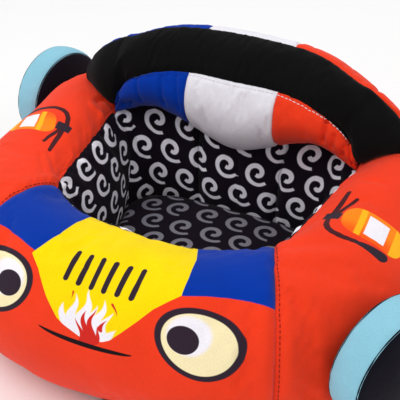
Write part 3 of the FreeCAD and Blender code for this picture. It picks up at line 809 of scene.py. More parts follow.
class Backrest:
    """Skin of the backrest: columns from its right to its left end, rows round each section."""

    def __init__(self):
        self.marks = [0]
        self.places = self.find_places()
        self.middle = len(self.places) // 2
        self.shape()

    def find_places(self):
        """Distances from the middle at which the columns stand, with one on every colour seam."""
        places = spaced((0.0, COLOUR_SEAM, TIP), BACKREST_PITCH, self.marks)
        ends = np.linspace(0, 1, TIP_COLUMNS + 1)[1:]
        half = np.array([*places, *(TIP + (BACKREST_HALF - TIP) * (1 - (1 - ends) ** TIP_CROWDING))])
        self.marks.append(len(half) - 1)
        return np.concatenate([-half[:0:-1], half])

    def shape(self):
        """Points of the three runs of each section: rear, top and front."""
        tree = tree_of("backrest_filling")
        rows = [(-row[0], *row[1:]) for row in BACKREST_ROWS[:0:-1]] + list(BACKREST_ROWS)
        curve = spline(rows, np.linspace(0, len(rows) - 1, 2 * FINE_STEPS + 1), False)
        lines = {name: [] for name in BACKREST_RUNS}
        for place in self.places:
            core_y, core_z, *ends = [np.interp(place, curve[:, 0], values) for values in curve[:, 1:].T]
            angles = [math.atan2(z - core_z, y - core_y) for y, z in zip(ends[::2], ends[1::2])]
            front, rear, under = [angle % (2 * math.pi) for angle in angles]
            share = np.clip(place / BACKREST_HALF, -TIP_LIMIT, TIP_LIMIT)
            core = np.array([share * (BACKREST_HALF - SKIN_ROOM), core_y, core_z]) * MM
            sweeps = {"rear": (under - 2 * math.pi, rear), "top": (rear, front), "front": (front, under)}
            for name, (low, high) in sweeps.items():
                points = fan(tree, core, (0.0, 1.0), np.linspace(low, high, BACKREST_RAYS), REST_ROOM)
                points[:, 0] = place * MM
                lines[name].append(resample(points, BACKREST_RUNS[name])[0])
        self.runs = {name: smoothed(np.array(grid)) for name, grid in lines.items()}
        for name, before in RUN_BORDERS:
            self.runs[name][:, 0] = self.runs[before][:, -1]

    def stuff(self, photo):
        """Swell the skin between its seams, then sew and fold it."""
        seams = [self.middle + side * mark for mark in self.marks[1:3] for side in (-1, 1)]
        starts = np.cumsum([0, *BACKREST_RUNS.values()])
        skin = np.concatenate([grid[:, :-1] for grid in self.runs.values()], 1).transpose(1, 0, 2)
        pinned = np.zeros(skin.shape[:2], bool)
        pinned[starts[:-1]] = True
        pinned[:, [0, -1]] = True
        pinned[:starts[1], seams] = True
        pinned[starts[2]:, seams] = True
        shift = swell(skin, pinned).transpose(1, 0, 2)
        shift = np.concatenate([shift, shift[:, :1]], 1)
        for name, start, end in zip(BACKREST_RUNS, starts[:-1], starts[1:]):
            self.runs[name] = self.runs[name] + shift[:, start:end + 1]
        for seed, name in enumerate(BACKREST_RUNS):
            grid = self.runs[name]
            out = -grid_normals(grid, False)
            raised = lumps(grid, REST_LUMPS)
            kind = REAR_PANEL_PUCKERS if name == "rear" else REST_PUCKERS
            for row in (0, -1):
                gap = from_row(grid, row)
                size = REST_TOP_VALLEY if (name, row) == ("front", 0) else REST_VALLEY
                raised += valley(gap, size) + puckers(gap, grid[:, :, 0], kind, seed + row)
            if name != "top":
                raised += sum(valley(from_column(grid, column, False), COLOUR_VALLEY) for column in seams)
            if name == "front":
                raised += folds(grid, out, photo, REST_FOLDS)
            self.runs[name] = grid + out * raised[:, :, None]
        for name, before in RUN_BORDERS:
            shared = 0.5 * (self.runs[name][:, 0] + self.runs[before][:, -1])
            self.runs[name][:, 0] = shared
            self.runs[before][:, -1] = shared

    def stretch(self, low, high):
        """Column numbers from one colour seam to another; negative seams lie on the right."""
        first = signed_mark(self.marks, low)
        last = signed_mark(self.marks, high)
        return self.middle + np.arange(first, last + 1)


def add_ring_pieces(ring, cloths):
    """Covers and linings, each a piece of its own."""
    across, along = ring.cover[:, :, 0], ring.cover[:, :, 1]
    maps = {"print": np.stack([across, ring.cover_run], 2),
            "side": np.stack([along * np.sign(across), ring.cover_run], 2)}
    for name, low, high, cloth, slot in (
            ("front_cover", -1, 1, "print", "front_plush"),
            ("left_side_cover", 1, 3, "side", "red_plush"),
            ("right_side_cover", 3, -1, "side", "red_plush")):
        chosen = ring.stretch(low, high)
        piece = add_skin("plush_" + name, ring.cover[chosen], maps[cloth][chosen])
        dress(piece, cloths[cloth], [name])
    length = ring.round.max() - ring.round.min()
    for name, low, high in (("front_lining", -1, 1), ("left_lining", 1, 2),
                            ("back_lining", 2, -2), ("right_lining", -2, -1)):
        chosen = ring.stretch(low, high)
        around = ring.round[chosen]
        if name != "front_lining":
            around = np.where(around < 0, around + length, around)
        down = ring.lining_run[chosen]
        cloth_map = np.stack([np.broadcast_to(around[:, None], down.shape), down], 2)
        piece = add_skin("woven_" + name, ring.lining[chosen], cloth_map, LINING)
        dress(piece, cloths["swirl"], [name])


def add_backrest_pieces(rest, cloths):
    """Coloured panels, and the black gusset with its laps round the ends."""
    for run, far in (("front", 2), ("rear", 3)):
        for colour, low, high in (("blue", -far, -1), ("white", -1, 1), ("red", 1, far)):
            grid = rest.runs[run][rest.stretch(low, high)][::-1]
            name = "backrest_%s_%s_panel" % (run, colour)
            piece = add_skin("plush_" + name, grid, grid[:, :, ::2])
            nodes = [name, "backrest_filling"] if (run, colour) == ("front", "white") else [name]
            dress(piece, cloths[colour], nodes)
    for name, run, low, high, nodes, fill in (
            ("velvet_gusset", "top", -3, 3, ["backrest_gusset"], FILLS["gusset"]),
            ("velvet_lap", "front", -3, -2, [], None),
            ("velvet_lap", "front", 2, 3, [], None)):
        grid = rest.runs[run][rest.stretch(low, high)][::-1]
        piece = add_skin(name, grid, grid[:, :, :2])
        dress(piece, cloths["velvet"], nodes)


# Seat pad and wheels


def add_pad(cloths):
    """Cushion on the floor of the well, its edge tucked down along the wall."""
    top = tree_of("seat_pad_cover")
    walls = tree_of("front_lining", "left_lining", "right_lining", "back_lining")
    middle = Vector([value * MM for value in PAD_MIDDLE])
    down = Vector((0, 0, -1))
    shares = np.linspace(0, 1, PAD_RINGS + 1)[1:]
    grid = np.zeros((PAD_TURNS, PAD_RINGS, 3))
    for i in range(PAD_TURNS):
        angle = 2 * math.pi * i / PAD_TURNS
        ray = Vector((math.cos(angle), math.sin(angle), 0))
        reach = walls.ray_cast(middle, ray, RAY_REACH * MM)[3] - PAD_ROOM * MM
        for j, share in enumerate(shares):
            place = middle + ray * reach * share
            hit = top.ray_cast(Vector((place.x, place.y, PAD_ABOVE * MM)), down, RAY_REACH * MM)[0]
            grid[i, j] = (place.x, place.y, hit.z if hit is not None else grid[i, j - 1, 2])
    edge = np.clip((shares - PAD_EDGE_SHARE) / (1 - PAD_EDGE_SHARE), 0, 1)
    grid[:, :, 2] -= (1 - np.sqrt(1 - PAD_ROUNDING * edge ** 2)) * PAD_TUCK * MM
    grid = smoothed(grid, closed=True)
    grid = np.concatenate([grid, grid[:, -1:] - (0, 0, PAD_FOOT * MM)], 1)
    hubs = [[middle.x, middle.y, grid[:, row, 2].mean()] for row in (0, -1)]
    points = np.concatenate([grid.reshape(-1, 3), hubs])
    rows = PAD_RINGS + 1
    faces = grid_faces(PAD_TURNS, rows, closed=True)[:, ::-1].tolist()
    crown = rows * PAD_TURNS
    for i in range(PAD_TURNS):
        here = i * rows
        beside = (i + 1) % PAD_TURNS * rows
        faces += [[crown, here, beside], [crown + 1, beside + PAD_RINGS, here + PAD_RINGS]]
    piece = add_mesh("woven_seat_pad", points, faces, points[:, :2])
    nodes = ["seat_pad_cover", "seat_pad_filling"]
    # The pad's swirls have their ink darkened as painted shade of the well's floor
    dress(piece, cloths["pad_swirl_in_painted_shade"], nodes)


def wheel_profiles():
    """Radius and place along the axle of a wheel's parts, from its outer hub to its inner one."""
    share = np.linspace(WHEEL_HUB_SHARE, 1, WHEEL_ROWS["face"])
    face = np.stack([WHEEL_SEAM * share, WHEEL_HALF + WHEEL_BULGE * (1 - share ** WHEEL_DOME_POWER)], 1)
    share = np.linspace(-1, 1, WHEEL_ROWS["tread"])
    tread = np.stack([WHEEL_SEAM + (WHEEL_RADIUS - WHEEL_SEAM) * (1 - share ** 2), -share * WHEEL_HALF], 1)
    return {"outer_face": face, "tread": tread, "inner_face": face[::-1] * (1, -1)}


def clear_of(tree, grid, axle):
    """Grid of a wheel pushed out of the ring along the axle."""
    moved = grid.reshape(-1, 3).copy()
    axle = Vector(axle)
    for index, point in enumerate(moved):
        start = Vector(point) + axle * (WHEEL_CHECK * MM)
        hit = tree.ray_cast(start, -axle, RAY_REACH * MM)
        if hit[0] is not None and hit[3] < (WHEEL_CHECK + WHEEL_ROOM) * MM:
            moved[index] = hit[0] + axle * (WHEEL_ROOM * MM)
    return moved.reshape(grid.shape)


def add_wheel(name, centre, turn, side, cloths):
    """One stuffed wheel, its inner face pressed flat against the ring."""
    axle = np.array([math.cos(turn), math.sin(turn), 0])
    ahead = np.array([-math.sin(turn), math.cos(turn), 0])
    angles = 2 * math.pi * np.arange(WHEEL_TURNS)[:, None] / WHEEL_TURNS
    spokes = (np.cos(angles) * ahead + np.sin(angles) * (0, 0, 1))[:, None]
    ways = {"outer_face": axle, "tread": spokes, "inner_face": -axle}
    for part, profile in wheel_profiles().items():
        grid = centre + MM * (spokes * profile[:, :1] + axle * profile[:, 1:])
        around = np.repeat(angles * WHEEL_RADIUS * MM, len(profile), 1)
        gap = from_row(grid, 0 if part == "inner_face" else -1)
        if part == "tread":
            gap = np.minimum(gap, from_row(grid, 0))
        seed = WHEEL_SEEDS[part] + centre[1] / MM / WHEEL_SEED_STEP
        waves = WHEEL_WAVES * MM * np.cos(angles)
        raised = valley(gap, WHEEL_VALLEY) + puckers(gap, around + waves, WHEEL_PUCKERS, seed)
        grid = clear_of(side, grid + ways[part] * raised[:, :, None], axle)
        cloth_map = np.stack([around, np.broadcast_to(profile[:, 1] * MM, around.shape)], 2)
        piece = add_skin("plush_%s_%s" % (name, part), grid[::-1], cloth_map[::-1], closed=True)
        cloth = "light_blue" if part == "tread" else "black"
        nodes = ["%s_%s" % (name, part)] + ([name + "_filling"] if part == "tread" else [])
        dress(piece, cloths[cloth], nodes)


def add_wheels(ring, cloths):
    """The four wheels, those on the right as mirror images."""
    side = grid_tree(ring.cover, grid_faces(*ring.cover.shape[:2], closed=True))
    for end, (across, along, turn_deg) in WHEELS.items():
        left = np.array([across, along, WHEEL_RISE]) * MM
        add_wheel(end + "_left_wheel", left, math.radians(turn_deg), side, cloths)
        add_wheel(end + "_right_wheel", left * (-1, 1, 1), math.radians(180 - turn_deg), side, cloths)


# Filling, base, zip and thread


def add_filling(ring, cloths):
    """Loose fibre inside the ring, just under its skin."""
    cover, lining = (grid - FILL_ROOM * MM * grid_normals(grid, True) for grid in (ring.cover, ring.lining))
    skin = np.concatenate([cover, lining[:, 1:]], 1)[::FILL_STEP, ::FILL_STEP]
    skin[:, :, 2] = np.maximum(skin[:, :, 2], FILL_FOOT * MM)
    columns, rows = skin.shape[:2]
    low = rows * np.arange(columns)
    beside = np.roll(low, -1)
    sole = np.stack([low, low + rows - 1, beside + rows - 1, beside], 1)
    faces = np.concatenate([grid_faces(columns, rows, closed=True), sole])
    piece = add_mesh("fibre_ring_filling", skin.reshape(-1, 3), faces)
    dress(piece, cloths["fibre"], ["ring_filling"])


def add_base(cloths):
    """Quilted base: the frame's panel, its sewn lines drawn up from below."""
    piece = bpy.data.objects.new("quilted_base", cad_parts["base_panel"].data.copy())
    bpy.context.scene.collection.objects.link(piece)
    remesh = piece.modifiers.new("Remesh", "REMESH")
    remesh.mode = "VOXEL"
    remesh.voxel_size = BASE_VOXEL * MM
    shaped = bpy.data.meshes.new_from_object(piece.evaluated_get(bpy.context.evaluated_depsgraph_get()))
    piece.modifiers.clear()
    piece.data = shaped
    shaped.materials.clear()
    points = np.zeros(len(shaped.vertices) * 3, np.float32)
    shaped.vertices.foreach_get("co", points)
    points = points.reshape(-1, 3).astype(float)
    x, y = points[:, 0] / MM, points[:, 1] / MM
    slants = np.stack([x + y, x - y]) / math.sqrt(2)
    nearest = np.abs((slants + QUILT_PITCH / 2) % QUILT_PITCH - QUILT_PITCH / 2).min(0)
    by_zip = np.maximum(np.abs(x) - TAPE_HALF, np.abs(y - ZIP_LINE) - TAPE_EDGES[1])
    fade = np.interp(by_zip, QUILT_FADE, (0, 1))
    lifted = QUILT_DEPTH * MM * np.exp(-(nearest / QUILT_WIDTH) ** 2) * fade
    below = points[:, 2] < BASE_UNDERSIDE * MM
    points[below, 2] = np.maximum(points[below, 2], 0) + lifted[below]
    shaped.vertices.foreach_set("co", points.astype(np.float32).ravel())
    shaped.polygons.foreach_set("use_smooth", np.ones(len(shaped.polygons), bool))
    shaped.update()
    dress(piece, cloths["base"], ["base_panel"])


def add_zip(cloths):
    """Tapes and coils of the zip; its stops and slider keep the frame's own shape."""
    along = np.linspace(-TAPE_HALF, TAPE_HALF, TAPE_COLUMNS)[:, None]
    turns = 2 * ZIP_HALF / COIL_PITCH - 1
    angle = np.linspace(0, 2 * math.pi * turns, int(turns * COIL_POINTS))
    for side, name in ((1, "rear"), (-1, "front")):
        across = ZIP_LINE + side * np.linspace(*TAPE_EDGES, TAPE_ROWS)
        wave = TAPE_WAVE[0] * np.sin(along / TAPE_WAVE[1] + side) * np.linspace(0, 1, TAPE_ROWS)
        grid = np.stack(np.broadcast_arrays(along, across, ZIP_HEIGHT + TAPE_THICK / 2 + wave), 2)[:, ::side]
        tape = add_skin("woven_zip_tape_" + name, grid * MM, grid[:, :, :2] * MM, TAPE_THICK)
        line = np.stack([-ZIP_HALF + COIL_PITCH * (0.5 + angle / (2 * math.pi)),
                         ZIP_LINE + side * (COIL_MIDDLE + COIL_HALF[0] * np.cos(angle)),
                         ZIP_HEIGHT + COIL_HALF[1] * np.sin(angle)], 1)
        coil = add_mesh("wound_zip_coil_" + name, *tube(line * MM, COIL_WIRE * MM, COIL_SIDES))
        for piece, cloth in ((tape, "tape"), (coil, "coil")):
            dress(piece, cloths[cloth], ["zip_%ss" % cloth] if side > 0 else [])
    for name, body in (("zip_stops", "cushion"), ("zip_slider", "zip_slider")):
        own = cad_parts[name]
        own.data.materials.clear()
        own.data.materials.append(cloths["metal"])
        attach(own, body)


def add_stitches(name, line, out, material):
    """Row of short thread stitches along a seam."""
    run = run_of(line)
    shares = np.linspace(-0.5, 0.5, STITCH_POINTS)
    rise = THREAD_HALF * MM * np.cos(shares * math.pi)[:, None]
    points, faces = [], []
    for k in range(int(run[-1] / MM / STITCH_PITCH)):
        places = ((k + 0.5) * STITCH_PITCH + shares * STITCH) * MM
        stitch = read_line(line, run, places) + read_line(out, run, places) * rise
        corners, sides = tube(stitch, THREAD_HALF * MM, THREAD_SIDES)
        faces += [[len(points) + i for i in side] for side in sides]
        points += corners.tolist()
    dress(add_mesh(name, np.array(points), faces), material, [])


def add_thread(ring, rest, cloths):
    """Stitches that show beside the seams."""
    front = rest.runs["front"]
    out = -grid_normals(front, False)
    panels = (("blue", -2, -1, "blue"), ("white", -1, 1, "white"), ("red", 1, 2, "white"))
    for name, low, high, cloth in panels:
        place = (rest.stretch(low, high), REST_THREAD_ROW)
        add_stitches("thread_backrest_" + name, front[place], out[place], cloths[cloth])
    out = grid_normals(ring.cover, True)
    for name, column in (("left", ring.marks[1] + 1), ("right", -ring.marks[1] - 1)):
        line, up = ring.cover[column, FRONT_THREAD_ROWS], out[column, FRONT_THREAD_ROWS]
        add_stitches("thread_front_seam_" + name, line, up, cloths["dark_thread"])


# Materials


class Value:
    """Number or vector that nodes work out, so that a sum of such values reads as a sum."""

    def __init__(self, shader, socket):
        self.shader = shader
        self.socket = socket

    def __add__(self, other):
        return self.shader.math("ADD", self, other)

    def __sub__(self, other):
        return self.shader.math("SUBTRACT", self, other)

    def __rsub__(self, other):
        return self.shader.math("SUBTRACT", other, self)

    def __mul__(self, other):
        return self.shader.math("MULTIPLY", self, other)

    def __truediv__(self, other):
        return self.shader.math("DIVIDE", self, other)

    def __abs__(self):
        return self.shader.math("ABSOLUTE", self)


class Shader:
    """Nodes of one material, with short names for what draws a pattern."""

    def __init__(self, name, look):
        self.material = bpy.data.materials.new(name)
        self.material.use_nodes = True
        self.tree = self.material.node_tree
        self.surface = self.tree.nodes["Principled BSDF"].inputs
        for setting, value in look.items():
            self.surface[setting].default_value = value

    def feed(self, target, value):
        """Set one input from a value, an ink's name or a plain number."""
        if isinstance(value, Value):
            self.tree.links.new(value.socket, target)
        else:
            target.default_value = (*INKS[value], 1) if isinstance(value, str) else value

    def node(self, kind, feeds=(), **settings):
        """New node with its settings, and its inputs by name or number."""
        made = self.tree.nodes.new(kind)
        for key, value in settings.items():
            setattr(made, key, value)
        for key, value in dict(feeds).items():
            self.feed(made.inputs[key], value)
        return made

    def result(self, made, output=0):
        return Value(self, made.outputs[output])

    def math(self, kind, *values, clamp=False):
        return self.result(self.node("ShaderNodeMath", enumerate(values), operation=kind, use_clamp=clamp))

    def vector(self, kind, *values):
        """Difference, product, length or other work on vectors."""
        made = self.node("ShaderNodeVectorMath", enumerate(values), operation=kind)
        return self.result(made, "Value" if kind in ("LENGTH", "DISTANCE", "DOT_PRODUCT") else "Vector")

    def mix(self, share, first, second, blend="MIX"):
        """Colour between two colours."""
        feeds = {0: share, 6: first, 7: second}
        return self.result(self.node("ShaderNodeMix", feeds, data_type="RGBA", blend_type=blend), 2)

    def place(self):
        """Point on the object."""
        return self.result(self.node("ShaderNodeTexCoord"), "Object")

    def cloth(self):
        """Place on the cloth in mm."""
        places = self.result(self.node("ShaderNodeUVMap", uv_map="Cloth"), "UV")
        return self.vector("MULTIPLY", places, (1 / MM, 1 / MM, 0))

    def noise(self, scale, detail, rough):
        feeds = {"Vector": self.place(), "Scale": scale, "Detail": detail, "Roughness": rough}
        return self.result(self.node("ShaderNodeTexNoise", feeds), "Fac")

    def step(self, value, low, high):
        """Smooth change from 0 to 1 between two values."""
        feeds = {"Value": value, "From Min": low, "From Max": high}
        return self.result(self.node("ShaderNodeMapRange", feeds, interpolation_type="SMOOTHSTEP"), "Result")

    def parts(self, vector):
        made = self.node("ShaderNodeSeparateXYZ", {0: vector})
        return self.result(made, 0), self.result(made, 1)

    def join(self, across, down):
        return self.result(self.node("ShaderNodeCombineXYZ", {0: across, 1: down}))

    def least(self, first, *others, kind="MINIMUM"):
        """Smallest of some values."""
        for other in others:
            first = self.math(kind, first, other)
        return first

    def most(self, *values):
        """Largest of some values."""
        return self.least(*values, kind="MAXIMUM")

    def curve(self, value, points, bend="AUTO_CLAMPED"):
        """Curve through points, read at a value."""
        points = sorted(points)
        low, high = points[0][0], points[-1][0]
        peak = max(point[1] for point in points) * CURVE_ROOM
        share = self.math("DIVIDE", value - low, high - low, clamp=True)
        made = self.node("ShaderNodeFloatCurve", {"Value": share})
        line = made.mapping.curves[0]
        spots = [((x - low) / (high - low), y / peak) for x, y in points]
        line.points[0].location = spots[0]
        line.points[1].location = spots[-1]
        for spot in spots[1:-1]:
            line.points.new(*spot)
        for point in line.points:
            point.handle_type = bend
        made.mapping.update()
        return self.result(made) * peak

    def stroke(self, at, start, end, first, last):
        """Distance to the edge of a straight stroke whose half width changes along it, negative inside."""
        run = Vector((end[0] - start[0], end[1] - start[1], 0))
        off = self.vector("SUBTRACT", at, (*start, 0))
        along = self.vector("DOT_PRODUCT", off, tuple(run / run.length_squared))
        share = self.math("MULTIPLY", along, 1.0, clamp=True)
        gap = self.vector("DISTANCE", off, self.join(share * run.x, share * run.y))
        return gap - (share * (last - first) + first)

    def box(self, at, middle, half, corner=0.0):
        """Distance to the edge of an upright rounded rectangle."""
        off = self.vector("ABSOLUTE", self.vector("SUBTRACT", at, (*middle, 0)))
        over = self.vector("SUBTRACT", off, (half[0] - corner, half[1] - corner, 0))
        outer = self.vector("LENGTH", self.vector("MAXIMUM", over, (0, 0, 0)))
        return outer + self.least(self.most(*self.parts(over)), 0.0) - corner

    def oval(self, at, middle, half):
        """Distance to the edge of an oval that leans as the eyes do, roughly."""
        cos, sin = math.cos(math.radians(EYE_LEAN_DEG)), math.sin(math.radians(EYE_LEAN_DEG))
        off = self.vector("SUBTRACT", at, (*middle, 0))
        long = self.vector("DOT_PRODUCT", off, (cos / half[0], sin / half[0], 0))
        short = self.vector("DOT_PRODUCT", off, (-sin / half[1], cos / half[1], 0))
        return (self.vector("LENGTH", self.join(long, short)) - 1.0) * half[1]

    def paint(self, colour, distance, ink, soft=PAINT_SOFT):
        """Colour with ink laid where a distance is negative."""
        return self.mix(self.step(distance, soft, -soft), colour, ink)


def plush(name, colour, sheen=0.1, patchy=0.1):
    """Short brushed pile with a soft sheen, of one ink or drawn by a function."""
    shader = Shader(name, {**PLUSH_LOOK, "Sheen Weight": sheen})
    picture = colour(shader) if callable(colour) else colour
    light = shader.noise(*PATCH_NOISE) * (2 * patchy) + (1 - patchy)
    grain = shader.noise(*GRAIN_NOISE) * GRAIN_SHARES[0] + GRAIN_SHARES[1]
    shader.feed(shader.surface["Base Color"], shader.mix(1.0, picture, light * grain, "MULTIPLY"))
    bump = shader.node("ShaderNodeBump", {**PILE_BUMP, "Height": shader.noise(*PILE_NOISE)})
    shader.feed(shader.surface["Normal"], shader.result(bump, "Normal"))
    return shader.material


def draw_front(shader, photo):
    """Print of the front cover: yellow hood, blue corners, red nose with eyes and a smile."""
    across, down = shader.parts(shader.cloth())
    side = abs(across)
    mirrored = shader.join(side, down)
    edges = (HOOD_RIGHT_EDGE, HOOD_LEFT_EDGE, CORNER_LOWER_EDGE)
    right, left, lower = [[photo.spot(pixel) for pixel in edge] for edge in edges]
    tip = (HOOD_TIP_DOWN, 0.0)
    hood = shader.most(across - shader.curve(down, right + [(0.0, HOOD_RIM_HALF), tip], "VECTOR"),
                       across * -1.0 - shader.curve(down, left + [tip], "VECTOR"),
                       down - (HOOD_TIP_DOWN - 1))
    corner = down - shader.curve(side, [(half, depth) for depth, half in lower])
    colour = shader.paint("red", corner, "blue")
    colour = shader.paint(colour, hood, "yellow")

    beside = shader.math("WRAP", side - SLOT_PITCH / 2, -SLOT_PITCH / 2, SLOT_PITCH / 2)
    below = shader.most(abs(down - SLOT_MIDDLE) - SLOT_REACH, 0.0)
    slot = shader.vector("LENGTH", shader.join(beside, below)) - SLOT_HALF
    colour = shader.paint(colour, shader.most(slot, side - SLOT_LIMIT), "dark")

    sway = shader.math("SINE", down * FLAME_SWAY[0]) * FLAME_SWAY[1]
    swayed = shader.join(across + sway, down)
    pale, red = [shader.least(*(shader.stroke(swayed, *tongue, TONGUE_TIP) for tongue in tongues))
                 for tongues in (PALE_TONGUES, RED_TONGUES)]
    colour = shader.paint(colour, shader.most(pale, hood), "pale", PALE_SOFT)
    colour = shader.paint(colour, red, "ember", RED_SOFT)

    colour = shader.paint(colour, shader.oval(mirrored, EYE_MIDDLE, EYE_OUTER), "dark")
    colour = shader.paint(colour, shader.oval(mirrored, EYE_MIDDLE, EYE_INNER), "cream")
    glint = shader.oval(mirrored, GLINT_MIDDLE, GLINT)
    glint = shader.most(glint, shader.oval(mirrored, EYE_MIDDLE, GLINT_LIMIT))
    colour = shader.paint(colour, glint, "white", GLINT_SOFT)
    colour = shader.paint(colour, shader.oval(mirrored, PUPIL_MIDDLE, PUPIL), "dark")

    share = shader.math("DIVIDE", side, SMILE_HALF, clamp=True)
    half = shader.math("SQRT", 1.0 - share * share) * (SMILE_THICK / 2)
    smile = abs(down - (half + SMILE_DOWN)) - half
    return shader.paint(colour, shader.most(smile, side - (SMILE_HALF - 1)), "black")


def draw_side(shader):
    """Print of a side cover: a plain fire extinguisher with an empty label."""
    at = shader.cloth()
    across, down = shader.parts(at)
    low = across * BOTTLE_LEAN[1] + (down + BOTTLE_SHIFT[1])
    leaning = shader.join(across + (down * BOTTLE_LEAN[0] + BOTTLE_SHIFT[0]), low)
    tint = shader.mix(shader.step(across, *BOTTLE_GLOW), "orange", "deep_orange")
    tint = shader.mix(shader.step(low, BOTTLE_END, BOTTLE_END + 1), tint, "amber")
    tint = shader.paint(tint, shader.most(STRIPE[0] - low, low - STRIPE[1]), "amber", STRIPE_SOFT)
    tint = shader.paint(tint, shader.box(leaning, LABEL_MIDDLE, LABEL_HALF), "white")
    hose = [shader.stroke(at, start, end, HOSE_HALF, HOSE_HALF) for start, end in zip(HOSE[:-1], HOSE[1:])]
    levers = [shader.stroke(at, *lever) for lever in LEVERS]
    colour = shader.paint("red", shader.least(*hose, *levers), "plum")
    colour = shader.paint(colour, shader.stroke(at, *HORN), "dark")
    colour = shader.paint(colour, shader.box(at, CLAMP_MIDDLE, CLAMP_HALF, CLAMP_CORNER), "dark")
    colour = shader.paint(colour, shader.box(leaning, BOTTLE_MIDDLE, BOTTLE_HALF, BOTTLE_CORNER), tint)
    return shader.paint(colour, shader.most(down - LAP_DOWN, across - LAP_END), "night")


def draw_swirls(shader, ink, flip):
    """Spirals in staggered rows on near-black cloth, upside down where flip is -1."""
    across, down = shader.parts(shader.cloth())
    rows = down / SWIRL_CELL[1]
    row = shader.math("FLOOR", rows)
    columns = across / SWIRL_CELL[0] + shader.math("WRAP", row, 0.0, 2.0) * 0.5
    cell = shader.join(shader.math("FLOOR", columns), row)
    chance = shader.node("ShaderNodeTexWhiteNoise", {"Vector": cell}, noise_dimensions="2D")
    draws = (*shader.parts(shader.result(chance, "Color")), shader.result(chance, "Value"))
    shift_x, shift_y, turned = [(draw - 0.5) * size for draw, size in zip(draws, SWIRL_JITTER)]
    x = ((shader.math("FRACT", columns) - 0.5) * SWIRL_CELL[0] + shift_x) * flip - SWIRL_SHIFT[0]
    y = (shader.math("FRACT", rows) - 0.5) * (SWIRL_CELL[1] * flip) + shift_y - SWIRL_SHIFT[1]
    reach = shader.vector("LENGTH", shader.join(x, y)) / SWIRL_RADIUS
    whole = 2 * math.pi
    start = math.radians(SWIRL_END_DEG) - whole * SWIRL_TURNS
    turn = shader.math("FRACT", (shader.math("ARCTAN2", y, x) + turned - start) / whole)
    arms = []
    for turns_before in (0.0, 1.0):
        share = (turn + turns_before) / SWIRL_TURNS
        middle = share * (1 - SWIRL_STROKE_SHARE - SWIRL_CORE_SHARE) + SWIRL_CORE_SHARE
        taper = shader.math("POWER", share, 4.0) * (-SWIRL_TAPER_SHARE * SWIRL_STROKE_SHARE)
        gap = abs(reach - middle) - (taper + SWIRL_STROKE_SHARE)
        arms.append(shader.most(gap, (share - 1.0) * (whole * SWIRL_TURNS)))
    return shader.paint("night", shader.least(*arms), ink, SWIRL_SOFT)


def draw_base(shader):
    """Dark quilting with rows of small raised dots."""
    half = DOT_PITCH / 2
    dot = shader.join(*(shader.math("WRAP", way, -half, half) for way in shader.parts(shader.place())))
    return shader.mix(shader.step(shader.vector("LENGTH", dot), *DOT_EDGE), "base", "dot")


def lacquer():
    """Black lacquered zinc, a little worn."""
    shader = Shader("zip_lacquer", LACQUER_LOOK)
    worn = shader.step(shader.noise(*WEAR_NOISE), *WEAR_EDGE)
    shader.feed(shader.surface["Base Color"], shader.mix(worn, "lacquer", "worn"))
    return shader.material


def filament():
    """Black monofilament of the zip's coils."""
    shader = Shader("zip_filament", COIL_LOOK)
    tone = shader.mix(shader.noise(*COIL_NOISE), "coil", "pale_coil")
    shader.feed(shader.surface["Base Color"], tone)
    return shader.material


def make_cloths(photo):
    """All fabrics by name."""
    swirls = partial(draw_swirls, ink="lilac", flip=-1.0)
    # The seat pad's swirls take a darker ink than the walls': painted shade of the floor of the well
    shade_painted_swirls = partial(draw_swirls, ink="painted_shade_lilac", flip=1.0)
    return {
        "side": plush("red_plush", draw_side),
        "print": plush("front_plush", partial(draw_front, photo=photo)),
        "blue": plush("blue_plush", "blue"),
        "white": plush("white_plush", "panel_white", patchy=0.03),
        "red": plush("backrest_red_plush", "red"),
        "velvet": plush("black_velvet", "velvet", sheen=0.05),
        "light_blue": plush("light_blue_plush", "light_blue"),
        "black": plush("black_plush", "wheel_black", sheen=0.06),
        "swirl": plush("swirl_cloth", swirls, sheen=0.04),
        "fibre": plush("loose_fibre", "fibre", sheen=0.2, patchy=0.25),
        "base": plush("base_cloth", draw_base, sheen=0.05),
        "tape": plush("zip_tape", "tape", sheen=0.05),
        "coil": filament(),
        "metal": lacquer(),
        "dark_thread": plush("dark_thread", "thread", sheen=0.05),
        # The walls' swirl cloth again, its ink darkened as painted shade for the seat pad
        "pad_swirl_in_painted_shade": plush("pad_swirl_cloth_in_painted_shade", shade_painted_swirls, sheen=0.04),
    }


# Stage


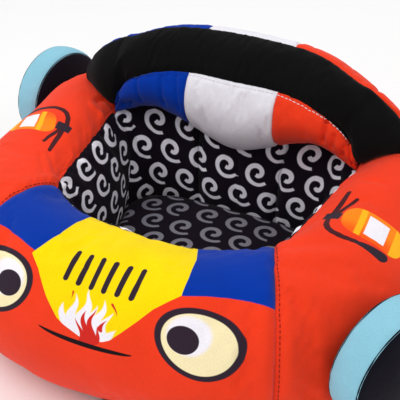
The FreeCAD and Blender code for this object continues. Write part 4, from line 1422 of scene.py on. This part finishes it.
def camera_place():
    """Place and turn of the photograph's camera."""
    turn = math.radians(CAMERA_TURN_DEG)
    rise = math.radians(CAMERA_RISE_DEG)
    back = Vector((math.sin(turn) * math.cos(rise), -math.cos(turn) * math.cos(rise), math.sin(rise)))
    right = Vector((math.cos(turn), math.sin(turn), 0))
    basis = Matrix((right, back.cross(right), back)).transposed().to_4x4()
    return Matrix.Translation(CAMERA_PLACE) @ basis


def add_stage():
    """Pale floor, soft light and the camera of the photograph."""
    scene = bpy.context.scene
    bpy.ops.mesh.primitive_plane_add(size=FLOOR_SIDE, location=(0, 0, FLOOR_HEIGHT))
    floor = bpy.context.object
    floor.name = "floor"
    shader = Shader("pale_floor", FLOOR_LOOK)
    shader.feed(shader.surface["Base Color"], "floor")
    floor.data.materials.append(shader.material)
    scene.world = bpy.data.worlds.new("studio")
    scene.world.use_nodes = True
    sky = scene.world.node_tree.nodes["Background"].inputs
    sky["Color"].default_value = (1, 1, 1, 1)
    sky["Strength"].default_value = SKY_STRENGTH
    for name, place, size, power in LIGHTS:
        light = bpy.data.lights.new(name, "AREA")
        light.size = size
        light.energy = power
        lamp = bpy.data.objects.new(name, light)
        lamp.location = place
        lamp.rotation_euler = (Vector(LIGHT_AIM) - Vector(place)).to_track_quat("-Z", "Y").to_euler()
        scene.collection.objects.link(lamp)
    camera = bpy.data.cameras.new("photo")
    camera.lens = CAMERA_LENS
    camera.sensor_width = CAMERA_SENSOR
    eye = bpy.data.objects.new("photo", camera)
    eye.matrix_world = camera_place()
    scene.collection.objects.link(eye)
    scene.camera = eye
    scene.view_settings.view_transform = "Standard"


ring = Ring()
rest = Backrest()
photo = Photo(ring.cover, ring.cover_run)
cloths = make_cloths(photo)
ring.stuff(photo)
rest.stuff(Photo(rest.runs["front"][::-1]))
add_ring_pieces(ring, cloths)
add_backrest_pieces(rest, cloths)
add_pad(cloths)
add_wheels(ring, cloths)
add_filling(ring, cloths)
add_base(cloths)
add_zip(cloths)
add_thread(ring, rest, cloths)
add_stage()
